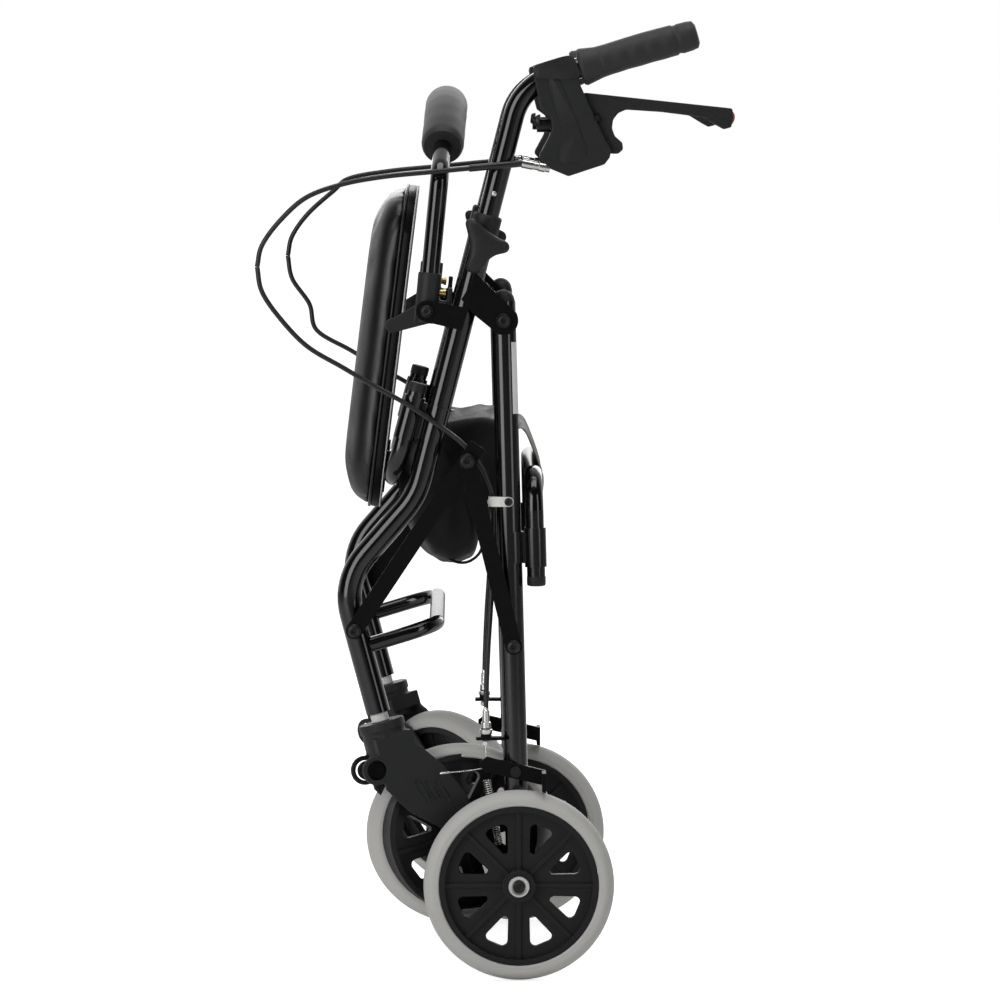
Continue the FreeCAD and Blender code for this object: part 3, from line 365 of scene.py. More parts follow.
def smooth_path(points, steps=10):
    """Catmull-Rom curve through the points."""
    padded = [2 * points[0] - points[1], *points, 2 * points[-1] - points[-2]]
    path = []
    for a, b, c, d in zip(padded, padded[1:], padded[2:], padded[3:]):
        path += [spline_spot(a, b, c, d, n / steps) for n in range(steps)]
    path.append(points[-1])
    return path


def smooth_outline(corners, steps=6):
    """Closed Catmull-Rom outline through flat (x, z) corners."""
    loop = [Vector(c) for c in corners]
    count = len(loop)
    outline = []
    for n in range(count):
        a, b, c, d = (loop[(n + k - 1) % count] for k in range(4))
        outline += [spline_spot(a, b, c, d, step / steps) for step in range(steps)]
    return outline


def ring_walls(rings, count):
    """Quads joining each ring of points to the next one."""
    faces = []
    for n in range(rings - 1):
        for k in range(count):
            a, b = n * count + k, n * count + (k + 1) % count
            faces.append((a, b, b + count, a + count))
    return faces


def ring_caps(rings, count):
    """The faces closing the first and the last ring."""
    last = (rings - 1) * count
    return [tuple(range(count)), tuple(range(last, last + count))]


def sweep(path, radius, around=16):
    """Points and faces of a capped tube; radius is a number or a function of the length share."""
    size = radius if callable(radius) else (lambda share: radius)
    lengths = [0.0]
    for a, b in zip(path, path[1:]):
        lengths.append(lengths[-1] + (b - a).length)
    side = (path[1] - path[0]).orthogonal().normalized()
    points = []
    for n, centre in enumerate(path):
        before, after = path[max(n - 1, 0)], path[min(n + 1, len(path) - 1)]
        turned = (after - before).normalized()
        side = (side - turned * side.dot(turned)).normalized()
        other = turned.cross(side)
        r = size(lengths[n] / lengths[-1])
        for k in range(around):
            angle = 2 * math.pi * k / around
            points.append(centre + (side * math.cos(angle) + other * math.sin(angle)) * r)
    return points, ring_walls(len(path), around) + ring_caps(len(path), around)


def lathe(profile, origin, axis, around=48, shape=None):
    """Turns (radius, height) pairs in metres about an axis; shape scales the radius by angle."""
    axis = axis.normalized()
    side = axis.orthogonal().normalized()
    if abs(axis.y) > 0.9:
        side = Vector((1, 0, 0))
    other = axis.cross(side)
    points = []
    for radius, height in profile:
        for k in range(around):
            angle = 2 * math.pi * k / around
            r = radius * (shape(angle, radius) if shape else 1.0)
            spoke = side * math.cos(angle) + other * math.sin(angle)
            points.append(origin + axis * height + spoke * r)
    return points, ring_walls(len(profile), around) + ring_caps(len(profile), around)


def in_mm(profile):
    return [(radius * MM, height * MM) for radius, height in profile]


def cad_points(node):
    data = NODES[node].data
    flat = np.zeros(len(data.vertices) * 3)
    data.vertices.foreach_get("co", flat)
    return flat.reshape(-1, 3)


def cad_axis(node):
    """Start and direction of a long round node, the direction pointing to the user's end."""
    points = cad_points(node)
    middle = (points.min(0) + points.max(0)) / 2
    direction = np.linalg.svd(points - points.mean(0), full_matrices=False)[2][0]
    direction = direction * (1 if direction[0] > 0 else -1)
    along = (points - middle) @ direction
    across = points - middle - np.outer(along, direction)
    centre = middle + (across.min(0) + across.max(0)) / 2
    return Vector(centre + direction * along.min()), Vector(direction)


def cad_copy(node, name, material):
    """A free copy of a CAD node's mesh, cleaned for modelling."""
    mesh = NODES[node].data.copy()
    mesh.name = name
    mesh.materials.clear()
    mesh.materials.append(MATERIALS[material])
    built = bmesh.new()
    built.from_mesh(mesh)
    bmesh.ops.remove_doubles(built, verts=built.verts, dist=1e-6)
    built.to_mesh(mesh)
    built.free()
    if "custom_normal" in mesh.attributes:
        mesh.attributes.remove(mesh.attributes["custom_normal"])
    piece = bpy.data.objects.new(name, mesh)
    bpy.context.scene.collection.objects.link(piece)
    return piece


def moulded(node, name, material, voxel, rounds):
    """A CAD node's shape with its edges rounded over, as a moulding comes out of its tool."""
    piece = cad_copy(node, name, material)
    remesh = piece.modifiers.new("remesh", "REMESH")
    remesh.mode = "VOXEL"
    remesh.voxel_size = voxel * MM
    soften = piece.modifiers.new("soften", "SMOOTH")
    soften.iterations = rounds
    soften.factor = 0.6
    thin = piece.modifiers.new("thin", "DECIMATE")
    thin.ratio = 0.35
    return shade_smooth(bake(piece))


def screw_head(name, centre, outward, radius, height, body, material="bolt_black"):
    """A button head with a hexagonal socket."""
    socket = radius * 0.48
    rim = [(radius, 0), (radius, height * 0.35), (radius * 0.82, height * 0.85)]
    profile = [*rim, (socket * 1.35, height), (socket, height * 0.95), (socket, height * 0.3)]
    profile.append((socket * 0.3, height * 0.25))

    def hexagonal(angle, at_radius):
        if at_radius > socket * 1.01:
            return 1.0
        return math.cos(math.pi / 6) / math.cos((angle % (math.pi / 3)) - math.pi / 6) * 1.1

    points, faces = lathe(profile, centre, outward, 48, hexagonal)
    piece = sharpen(add_piece(name, points, faces, material), 30)
    return settle(piece, body)


# --- carried CAD nodes -------------------------------------------------------------------
DARK_FITTINGS = {
    "brake_fittings": "bolt_black",
    "rear_axle": "bolt_black",
    "front_wheel_hub": "hub_black",
    "rear_wheel_hub": "hub_black",
}


def dress_frame():
    """Every CAD node shown as it is gets its slot's material."""
    for subpart in frame["record"]["subparts"]:
        node = NODES[subpart["node"]]
        node.data.materials.clear()
        look = DARK_FITTINGS.get(subpart["node"].rsplit("_", 1)[0], subpart["material_slot"])
        node.data.materials.append(MATERIALS[look])


# --- handles -----------------------------------------------------------------------------
GRIP_LENGTH = 128.0
# The grip's radius at places along it, both in millimetres.
GRIP_KNOTS = [(0, 13), (1, 18.4), (4, 19.8), (9, 18.9), (20, 16.9), (34, 16.2), (70, 16.6)]
GRIP_KNOTS += [(103, 16.4), (104.5, 15.0), (107, 14.9), (109, 15.9), (119, 15.6)]
GRIP_KNOTS += [(125.5, 14.6), (128, 10)]


def hand_grip(side):
    """Ergonomic grip: a flared inner flange, a waist, soft palm pads and a groove near its end."""
    node = f"hand_grip_{side}"
    start, direction = cad_axis(node)
    start = start - direction * 3 * MM
    around, rings = 64, 132
    up = (Vector((0, 0, 1)) - direction * direction.z).normalized()
    other = direction.cross(up)
    places, radii = zip(*GRIP_KNOTS)
    points = []
    for n in range(rings):
        s = GRIP_LENGTH * n / (rings - 1)
        radius = float(np.interp(s, places, radii))
        for k in range(around):
            angle = 2 * math.pi * k / around
            pads = 0.9 * math.sin(math.pi * s / 17.5) ** 2 * math.sin(angle) ** 4
            pads *= 1.0 if 24 < s < 100 else 0.0
            palm = 0.8 * math.cos(angle) * math.sin(math.pi * min(max(s - 20, 0), 90) / 90)
            fingers = -0.15 * max(-math.cos(angle), 0) * math.cos(2 * math.pi * s / 25)
            fingers *= 1.0 if 15 < s < 103 else 0.0
            r = (radius + pads + palm + fingers) * MM
            spoke = up * math.cos(angle) + other * math.sin(angle)
            points.append(start + direction * s * MM + spoke * r)
    faces = ring_walls(rings, around) + ring_caps(rings, around)
    piece = add_piece(f"grip_{side}", points, faces, "grip_black")
    settle(sharpen(piece, 50), f"handle_{side}", [node])


STRAP_CORNERS = [(15.8, 954), (34, 961.5), (52.4, 966), (58.6, 961), (62.5, 943), (24, 941.5)]
STRAP_CORNERS += [(18.5, 943)]
CHEEK_CORNERS = [(31, 939), (43, 939.5), (70, 871), (66, 859), (48, 853), (42, 862)]
CHEEK_CORNERS += [(46, 884), (40, 905)]


def raised_panel(name, corners, height, side):
    """A low raised panel with a bevelled rim on the brake housing's outer face."""
    outline = smooth_outline(corners)
    middle = sum((Vector(c) for c in corners), Vector((0, 0))) / len(corners)
    levels = ((1.0, 14.0), (1.0, height - 0.7), (0.97, height))
    points = []
    for scale, out in levels:
        for corner in outline:
            spot = middle + (corner - middle) * scale
            points.append(place(spot.x, spot.y, out, side))
    faces = ring_walls(len(levels), len(outline)) + ring_caps(len(levels), len(outline))[1:]
    panel = sharpen(add_piece(f"{name}_{side}", points, faces, "plastic_charcoal"), 50)
    settle(panel, f"handle_{side}")


def housing(side):
    """Brake housing with rounded edges, a raised cheek, a strap and its clamp screw."""
    node = f"brake_housing_{side}"
    body = f"handle_{side}"
    piece = moulded(node, f"housing_{side}", "plastic_charcoal", 1.0, 5)
    settle(piece, body, [node])
    raised_panel("housing_strap", STRAP_CORNERS, 16.3, side)
    raised_panel("housing_cheek", CHEEK_CORNERS, 15.7, side)
    outward = Vector((-1, 0, 0.12))
    screw_head(f"clamp_screw_{side}", place(22, 898, 3, side), outward, 6.5 * MM, 5 * MM, body)


def lever(side):
    """Brake lever with rounded edges and a coloured end."""
    node = f"brake_lever_{side}"
    piece = moulded(node, f"lever_{side}", "plastic_charcoal", 0.9, 14)
    settle(piece, f"brake_lever_{side}", [node])
    tip = [place(222.4, 908, 0, side), place(223.4, 903, 0, side), place(222.6, 895, 0, side)]

    def bulge(share):
        return 2.6 * MM * math.sin(math.pi * (0.12 + 0.76 * share))

    points, faces = sweep(smooth_path(tip, 6), bulge)
    settle(add_piece(f"lever_accent_{side}", points, faces, "accent"), f"brake_lever_{side}")


KNOB_OUTLINE = [(-15, 27), (-8, 26), (2, 17), (15, 8), (25, 3), (27.5, -3), (24, -8)]
KNOB_OUTLINE += [(13, -11), (5, -17), (1, -24), (-5, -29), (-13, -29), (-18, -24)]
KNOB_OUTLINE += [(-15, -12), (-14, 0), (-16.5, 13), (-18.5, 23)]
KNOB_SHIFT = Vector((3.5, 4.0))
# Share of the outline's size at each height of the knob, in millimetres.
KNOB_LEVELS = [(0.80, 1), (0.97, 2.5), (1.0, 5), (1.0, 9), (0.975, 12), (0.9, 14.5)]
KNOB_LEVELS += [(0.78, 16), (0.5, 16.8), (0.2, 17)]


def knob(side):
    """Three-winged clamp knob with hollow flanks and a domed face."""
    node = f"wing_knob_{side}"
    low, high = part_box(node)
    middle = joint_place(f"wing_knob_{side}_turn")
    outer = low.y if side == "left" else high.y
    inner = outer - SIDES[side] * 17 * MM
    origin = Vector((middle.x, inner, middle.z))
    outward = Vector((0, SIDES[side], 0))
    outline = smooth_outline(KNOB_OUTLINE, 8)
    points = []
    for scale, height in KNOB_LEVELS:
        for corner in outline:
            spot = corner * scale + KNOB_SHIFT
            points.append(origin + Vector((spot.x, 0, spot.y)) * MM + outward * height * MM)
    levels, count = len(KNOB_LEVELS), len(outline)
    faces = ring_walls(levels, count) + ring_caps(levels, count)
    piece = subdivided(add_piece(f"knob_{side}", points, faces, "plastic_charcoal"))
    settle(piece, f"wing_knob_{side}", [node])


# --- backrest and seat ---------------------------------------------------------------------
BACKREST_LEAN = math.radians(5.5)
BACKREST_ARCH_R = 359 * MM
BACKREST_RISE = 144 * MM
FOAM_HALF = 170 * MM
FOAM_R = 22.3 * MM
SEAT_LEAN = math.radians(6.9)
SEAT_LOW = 10.5 * MM
BOARD = 10.0 * MM
SEAT_MIDDLE = 131.5 * MM
SEAT_HALF_UP, SEAT_HALF_ACROSS = 171 * MM, 175 * MM
SEAT_CORNER_POWER = 2 / 7
EDGE_INSET, EDGE_SPREAD = 1.8 * MM, 1.006


def backrest_spot(x, y, z):
    """A point in the backrest's own frame: z runs up its tubes from the pivot."""
    c, s = math.cos(BACKREST_LEAN), math.sin(BACKREST_LEAN)
    return Vector((BACKREST_PIVOT.x + x * c + z * s, y, BACKREST_PIVOT.z - x * s + z * c))


def foam_sleeve():
    """Foam sleeve over the backrest's arch, its cut ends slightly rounded."""
    reach = math.sqrt(BACKREST_ARCH_R**2 - FOAM_HALF**2)
    end_z = BACKREST_RISE + (LEG_Y - FOAM_HALF) * FOAM_HALF / reach
    swing = math.asin(FOAM_HALF / BACKREST_ARCH_R)
    path = []
    for n in range(81):
        angle = swing * (n / 40 - 1)
        rise = BACKREST_ARCH_R * math.cos(angle) - reach
        path.append(backrest_spot(0, BACKREST_ARCH_R * math.sin(angle), end_z + rise))

    def swell(share):
        end = min(share, 1 - share) * 40
        ease = min(end, 1.0)
        ripple = 0.15 * math.sin(share * 31) + 0.1 * math.sin(share * 73 + 1)
        return FOAM_R - 2.6 * MM * (1 - ease) ** 2 + ripple * MM

    points, faces = sweep(path, swell, 64)
    piece = sharpen(add_piece("backrest_sleeve", points, faces, "foam_black"), 60)
    settle(piece, "backrest", ["backrest_foam"])


def seat_spot(up, across, out):
    """A point in the seat's own frame, in metres: up from the hinge, out from the underside."""
    c, s = math.cos(SEAT_LEAN), math.sin(SEAT_LEAN)
    return Vector((HINGE.x + up * s - out * c, across, HINGE.z + up * c + out * s))


def rounded_loop(half_up, half_across, count=128):
    """Points round a rectangle whose corners are rounded as a superellipse's are."""
    loop = []
    for k in range(count):
        angle = 2 * math.pi * (k + 0.5) / count
        c, s = math.cos(angle), math.sin(angle)
        up = half_up * math.copysign(abs(c) ** SEAT_CORNER_POWER, c)
        across = half_across * math.copysign(abs(s) ** SEAT_CORNER_POWER, s)
        loop.append((up, across))
    return loop


def seat_rings(rings):
    """Lofts rounded-rectangle rings given as (inset, out) pairs in metres, closed at both ends."""
    count = 128
    points = []
    for inset, out in rings:
        for up, across in rounded_loop(SEAT_HALF_UP - inset, SEAT_HALF_ACROSS - inset, count):
            points.append(seat_spot(SEAT_MIDDLE + up, across, out))
    return points, ring_walls(len(rings), count) + ring_caps(len(rings), count)


CLOTH_FRAMES = 20


def inflate(piece, pinned, pressure, cap):
    """Puffs a closed skin out with a short cloth simulation, each point moving at most cap."""
    remesh = piece.modifiers.new("remesh", "REMESH")
    remesh.mode = "VOXEL"
    remesh.voxel_size = 5 * MM
    bake(piece)
    rest = [v.co.copy() for v in piece.data.vertices]
    group = piece.vertex_groups.new(name="pin")
    for vertex in piece.data.vertices:
        group.add([vertex.index], pinned(vertex.co), "REPLACE")
    cloth = piece.modifiers.new("cloth", "CLOTH")
    cloth.settings.vertex_group_mass = "pin"
    cloth.settings.use_pressure = True
    cloth.settings.uniform_pressure_force = pressure
    cloth.settings.effector_weights.gravity = 0
    cloth.settings.quality = 4
    cloth.point_cache.frame_start, cloth.point_cache.frame_end = 1, CLOTH_FRAMES
    for step in range(1, CLOTH_FRAMES + 1):
        bpy.context.scene.frame_set(step)
    bake(piece)
    bpy.context.scene.frame_set(1)
    for vertex, start in zip(piece.data.vertices, rest):
        move = vertex.co - start
        if move.length > cap:
            vertex.co = start + move * (cap / move.length)
    piece.vertex_groups.clear()


# Rings of the cushion and of the board: inset from the seat's outline, height from its foot.
CUSHION_RINGS = [(10, 0.2), (4, 0.2), (1.5, 2), (1, 6), (2.2, 12), (5.5, 18.5), (10.5, 23.5)]
CUSHION_RINGS += [(18, 27.6), (29, 30.0), (48, 31.0), (110, 31.4)]
BOARD_RINGS = [(3, 0.0), (0.3, 0.6), (0.0, 2.0), (0.0, 9.0), (1.0, 9.9)]
PUFF_PRESSURE, PUFF_CAP = 4.0, 3.2 * MM


def seat_cushion():
    """Padded vinyl cushion, puffed out a little by its filling."""
    foot = SEAT_LOW + BOARD
    points, faces = seat_rings([(inset * MM, foot + out * MM) for inset, out in CUSHION_RINGS])
    piece = add_piece("cushion", points, faces, "vinyl_black")
    board_face = seat_spot(0, 0, foot)
    outward = (seat_spot(0, 0, 1) - seat_spot(0, 0, 0)).normalized()

    def pinned(spot):
        height = (spot - board_face).dot(outward)
        return max(0.0, min(1.0, 1.2 - height / (6 * MM)))

    inflate(piece, pinned, PUFF_PRESSURE, PUFF_CAP)
    soften = piece.modifiers.new("soften", "SMOOTH")
    soften.iterations = 14
    subdivided(bake(piece))
    settle(piece, "seat", ["seat_cushion"])


def seat_edges():
    """Piping round the cushion's foot, the board, and a pale trim on the board's edge."""
    loop = rounded_loop(
        (SEAT_HALF_UP - EDGE_INSET) * EDGE_SPREAD, (SEAT_HALF_ACROSS - EDGE_INSET) * EDGE_SPREAD, 200
    )
    for name, out, radius, look in (
        ("cushion_piping", SEAT_LOW + BOARD + 1.6 * MM, 1.7 * MM, "vinyl_black"),
        ("board_trim", SEAT_LOW + 0.6 * MM, 0.9 * MM, "silver_trim"),
    ):
        path = [seat_spot(SEAT_MIDDLE + up, across, out) for up, across in [*loop, loop[0]]]
        points, faces = sweep(path, radius, 10)
        settle(add_piece(name, points, faces, look), "seat")
    points, faces = seat_rings([(inset * MM, SEAT_LOW + out * MM) for inset, out in BOARD_RINGS])
    board = sharpen(add_piece("board", points, faces, "link_black"), 50)
    settle(board, "seat", ["seat_board"])


# --- bag -----------------------------------------------------------------------------------
BAG_HALF = 163 * MM
BAG_OUTLINE = [(-121, 536), (-112, 560), (-88, 577), (-58, 584), (-26, 586), (-10, 576)]
BAG_OUTLINE += [(-5, 548), (-12, 512), (-30, 480), (-41, 464), (-46, 447), (-62, 440)]
BAG_OUTLINE += [(-84, 442), (-102, 454), (-116, 478), (-124, 508)]
BAG_MIDDLE = Vector((-62, 515))
# The flap's line over the rear seat bar, the cord's under the bag, and their half width.
FLAP_LINE = [(-8, 566), (1, 573), (8, 570), (16, 553), (24, 530), (26.5, 516), (24, 496)]
CORD_LINE = [(-86, 452), (-80, 441), (-68, 432), (-54, 431), (-42, 439), (-37, 452), (-36, 470)]
FLAP_HALF = 150 * MM


def storage_bag():
    """Slack nylon pouch between the seat bars, its walls creased where it is folded."""
    outline = smooth_outline(BAG_OUTLINE, 8)
    middle = BAG_MIDDLE
    stations, points = 61, []
    for n in range(stations):
        share = 2 * n / (stations - 1) - 1
        tuck = 1 - 0.10 * max(0.0, (abs(share) - 0.9) / 0.1) ** 2
        for spot in outline:
            flat = middle + (spot - middle) * tuck
            y = share * BAG_HALF
            seed = Vector((flat.x * 0.03, y * 8.0, flat.y * 0.024))
            fold = 1 - 2.4 * abs(noise.noise(seed * 1.3))
            crease = noise.noise(seed) * 7.0 + fold * 4.5 + noise.noise(seed * 3.1) * 2.0
            away = (spot - middle).normalized()
            low = max(0.0, (middle.y - flat.y) / 70)
            sag = 14.0 * low * (1 - share**2)
            hollow = -9.0 * (1 - abs(share) ** 4) * max(0.0, away.y)
            x = flat.x + away.x * crease * 0.6
            z = flat.y + away.y * crease * 0.5 - sag + hollow
            points.append(Vector((x * MM, y, z * MM)))
    count = len(outline)
    faces = ring_walls(stations, count)
    for first, sign in ((0, -1), (len(points) - count, 1)):
        ring = list(range(first, first + count))
        for shrink in (0.8, 0.55, 0.25):
            start = len(points)
            for k in range(count):
                edge = points[first + k]
                inner = Vector((middle.x * MM, edge.y, middle.y * MM))
                spot = inner + (edge - inner) * shrink
                ridge = 1 - 2.2 * abs(noise.noise(Vector((spot.x * 26, sign * 3, spot.z * 13))))
                fold = ridge * 6 * MM
                spot.y += sign * (2 * MM * (1 - shrink) + fold)
                points.append(spot)
            for k in range(count):
                a, b = ring[k], ring[(k + 1) % count]
                faces.append((a, b, start + (k + 1) % count, start + k))
            ring = list(range(start, start + count))
        faces.append(tuple(ring))
    piece = subdivided(add_piece("bag", points, faces, "bag_black"))
    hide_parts("storage_bag")
    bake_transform(piece)


def bag_flap(curve):
    """Thin cloth flap, slightly rippled, over the rear seat bar."""
    columns, points, faces = 25, [], []
    for offset in (0.0, -1.3 * MM):
        for n, spot in enumerate(curve):
            for k in range(columns):
                share = 2 * k / (columns - 1) - 1
                wave = noise.noise(Vector((n * 0.12, share * 5, 3.0))) * 3 * MM
                x = spot.x + offset + wave * 0.5
                points.append(Vector((x, share * FLAP_HALF, spot.z + wave)))
    rows = len(curve)
    step = rows * columns
    for layer in range(2):
        for n in range(rows - 1):
            for k in range(columns - 1):
                a = layer * step + n * columns + k
                faces.append((a, a + 1, a + 1 + columns, a + columns))
    rim = [n * columns for n in range(rows)]
    rim += [(rows - 1) * columns + k for k in range(1, columns)]
    rim += [n * columns + columns - 1 for n in range(rows - 2, -1, -1)]
    rim += range(columns - 2, 0, -1)
    for a, b in zip(rim, rim[1:] + rim[:1]):
        faces.append((a, b, b + step, a + step))
    flap = sharpen(add_piece("bag_flap", points, faces, "bag_black"), 60)
    settle(flap, "rear_frame")


def side_line(line, y):
    """A smooth path through (x, z) places in millimetres, at one distance across."""
    return smooth_path([Vector((x * MM, y, z * MM)) for x, z in line], 6)


def bag_details():
    """The bag's flap with its bound edges, and the pull cord under the bag."""
    bag_flap(side_line(FLAP_LINE, 0))
    for side, sign in SIDES.items():
        points, faces = sweep(side_line(FLAP_LINE, sign * FLAP_HALF), 0.8 * MM, 8)
        settle(add_piece(f"flap_binding_{side}", points, faces, "binding"), "rear_frame")
        points, faces = sweep(side_line(CORD_LINE, sign * FLAP_HALF), 1.5 * MM, 8)
        cord = add_piece(f"bag_cord_{side}", points, faces, "bag_black")
        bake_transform(cord)


# --- cables --------------------------------------------------------------------------------
CABLE_R = 2.6 * MM


def cable_route(side):
    """The brake cable's centre line: one run to the loop's far end, one down to the brake."""
    slack = 0 if side == "left" else 20
    upper = [(4, 853.8, 12), (-20, 851.5, 17.5), (-52, 848.5, 17.5), (-89, 845, 17.5)]
    upper += [(-140, 840, 17.5), (-184, 832, 17.5), (-222 + slack, 818, 17.5)]
    upper += [(-250 + slack, 793, 17.5), (-268 + slack, 768, 17.5), (-273 + slack, 746, 17.5)]
    lower = [(-273 + slack, 746, 17.5), (-268 + slack, 720, 17.5), (-249 + slack, 692, 17.5)]
    lower += [(-221, 663, 17.5), (-184, 641, 17.5), (-150, 621, 17.5), (-118, 603, 17.5)]
    lower += [(-85, 581, 18), (-58, 560, 11), (-38, 534, 7), (-27.5, 508, 5), (-26.5, 492, 5)]
    lower += [(-27, 440, 7), (-29, 393, 8), (-32, 345, 8), (-33.8, 300, 8), (-34.3, 276, 8)]
    return [[place(x, z, out, side) for x, z, out in run] for run in (upper, lower)]


# The cable adjuster's section at the brake housing: radius and place along it.
ADJUSTER = [(2.2, -4), (3.4, -3.6), (3.4, -1), (4.9, -0.6), (4.9, 11.6), (4.35, 12)]
ADJUSTER += [(4.35, 17), (5.1, 17.4), (5.1, 24), (4.35, 24.6), (4.35, 29)]


def cables():
    """Sheathed cables in an upper and a lower run, with a sleeve and an adjuster at each handle."""
    for side in SIDES:
        upper, lower = cable_route(side)
        points, faces = sweep(smooth_path(upper, 8), CABLE_R, 14)
        piece = add_piece(f"cable_upper_{side}", points, faces, "cable_black")
        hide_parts("brake_cables")
        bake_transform(piece)
        points, faces = sweep(smooth_path(lower, 8), CABLE_R, 14)
        piece = add_piece(f"cable_lower_{side}", points, faces, "cable_black")
        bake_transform(piece)
        sleeve = smooth_path(upper[:3], 10)
        if side == "right":
            sleeve = sleeve[:14]
        points, faces = sweep(sleeve, 3.7 * MM, 20)
        piece = add_piece(f"cable_sleeve_{side}", points, faces, "cable_black")
        settle(sharpen(piece, 50), f"handle_{side}")
        run = place(29, 849, 11, side) - upper[0]
        points, faces = lathe(in_mm(ADJUSTER), upper[0], run, 32)
        piece = sharpen(add_piece(f"cable_adjuster_{side}", points, faces, "steel_zinc"), 30)
        settle(piece, f"handle_{side}")


def helix(start, end, radius, turns, wire, around=8):
    """A coil spring of even radius, wound from start to end."""
    axis = (end - start).normalized()
    side = axis.orthogonal().normalized()
    other = axis.cross(side)
    path = []
    steps = turns * 16
    for n in range(steps + 1):
        share = n / steps
        angle = 2 * math.pi * turns * share
        spoke = side * math.cos(angle) + other * math.sin(angle)
        path.append(start.lerp(end, share) + spoke * radius)
    return sweep(path, wire, around)


def lower_brake(side):
    """Ferrule, adjuster nut, bare wire and return spring below the cable's end."""
    body, arm = "rear_frame", f"brake_arm_{side}"
    foot = place(-34.3, 256, 8, side)
    up = Vector((0, 0, 1))
    profile = [(6.4, -0.2), (6.8, 0.6), (6.8, 4.4), (5.2, 5.2), (5.2, 12), (3.8, 12.8), (3.8, 24)]
    profile += [(2.9, 25), (2.4, 29)]
    points, faces = lathe(in_mm(profile), foot, up, 32)
    piece = sharpen(add_piece(f"cable_ferrule_{side}", points, faces, "steel_zinc"), 30)
    settle(piece, body)
    nut = in_mm([(3.0, 0), (4.6, 0.6), (4.6, 4.6), (3.0, 5.2)])
    points, faces = lathe(nut, place(-34.3, 243.5, 8, side), up, 6)
    settle(add_piece(f"adjuster_nut_{side}", points, faces, "bush_white", False), body)
    wire = [place(-34.3, 250, 8, side), place(-34.2, 236, 10, side), place(-33.5, 222, 17, side)]
    points, faces = sweep(smooth_path(wire, 8), 0.9 * MM, 8)
    piece = add_piece(f"bare_wire_{side}", points, faces, "steel_zinc")
    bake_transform(piece)
    tail = [place(-33.5, 221, 17, side), place(-52, 218, 17.6, side), place(-78, 215.5, 18, side)]
    points, faces = sweep(smooth_path(tail, 8), 0.65 * MM, 8)
    settle(add_piece(f"wire_tail_{side}", points, faces, "steel_zinc"), arm)
    crimp = in_mm([(0.7, -6), (1.2, -5), (1.2, 4), (0.7, 5)])
    points, faces = lathe(crimp, tail[-1], tail[-1] - tail[-2], 16)
    settle(add_piece(f"wire_crimp_{side}", points, faces, "steel_zinc"), arm)
    top, low = place(-33, 208, 15, side), place(-21, 140, 13.5, side)
    points, faces = helix(top, low, 3.9 * MM, 30, 0.65 * MM)
    piece = add_piece(f"return_spring_{side}", points, faces, "steel_zinc")
    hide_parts("brake_return_springs")
    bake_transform(piece)


# --- frame details -------------------------------------------------------------------------
def weld(name, path, body, radius=1.6):
    """A bead of overlapping ripples."""
    line = smooth_path(path, 12)
    length = sum((b - a).length for a, b in zip(line, line[1:]))
    ripples = max(4, round(length / (2.6 * MM)))

    def bead(share):
        end = math.sin(math.pi * min(1.0, max(0.0, share))) ** 0.25
        return (radius * (0.8 + 0.25 * abs(math.sin(math.pi * ripples * share))) * end + 0.1) * MM

    dense = smooth_path(path, 8 * ripples // max(1, len(path) - 1) + 8)
    points, faces = sweep(dense, bead, 10)
    settle(add_piece(name, points, faces, "frame_black"), body)


REAR_BAR_FOOT_X = 18.6 * MM
# Screw heads: place in the side view, distance outboard of the legs, radius, height, body.
SCREWS = (
    ("fold_screw", (-15.6, 689.7), 20.3, 6.4, 3.2, "fold_pivot"),
    ("backrest_screw", (-96.2, 699.7), 19.8, 5.6, 3.0, "front_frame"),
    ("brace_screw_front", (-172.2, 365.0), 20.2, 6.6, 3.4, "front_frame"),
    ("brace_screw_rear", (-5.3, 348.8), 24.9, 6.6, 3.4, "rear_frame"),
    ("brace_rivet", (-53.8, 543.0), 24.7, 7.6, 3.6, "rear_links"),
    ("clip_screw", (-10.8, 500.0), 16.9, 4.2, 2.4, "rear_frame"),
)
# Weld lines where the fold brackets and the backrest brackets meet the front legs.
FOLD_WELD = [(-47.5, 737), (-50.5, 724), (-53, 713), (-56, 701)]
BACKREST_WELD = [(-59.5, 702), (-62.5, 692), (-65, 681)]
WELD_OUT = 11.2
LABEL_HEIGHTS = (592.0, 667.0)


def bar_cap(name, centre, axis, body):
    """Black plastic end cap on a seat bar's arm."""
    profile = in_mm([(6, -0.5), (9.9, -0.5), (9.9, 7.5), (9.1, 9), (6.5, 9.6), (1, 9.7)])
    points, faces = lathe(profile, centre, axis, 40)
    piece = sharpen(add_piece(name, points, faces, "plastic_charcoal"), 35)
    settle(piece, body)


def frame_details(side):
    """Screw heads, end caps of the seat bars and weld beads on one side."""
    outward = Vector((0, SIDES[side], 0))
    for name, (x, z), out, radius, height, body in SCREWS:
        centre = place(x, z, out, side)
        screw_head(f"{name}_{side}", centre, outward, radius * MM, height * MM, body)
    up = Vector((30.2, 0, 119.6)).normalized()
    bar_cap(f"front_bar_cap_{side}", place(-106.8, 616.0, 0, side) - up * MM, up, "front_frame")
    rear_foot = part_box("rear_seat_bar")[0].z
    foot = Vector((REAR_BAR_FOOT_X, SIDES[side] * LEG_Y, rear_foot + 6.5 * MM))
    bar_cap(f"rear_bar_cap_{side}", foot, Vector((0, 0, -1)), "rear_frame")
    for number, out in enumerate((WELD_OUT, -WELD_OUT)):
        bead = [place(x, z, out, side) for x, z in FOLD_WELD]
        weld(f"weld_fold_{number}_{side}", bead, "front_frame")
        bead = [place(x, z, out, side) for x, z in BACKREST_WELD]
        weld(f"weld_backrest_{number}_{side}", bead, "front_frame")


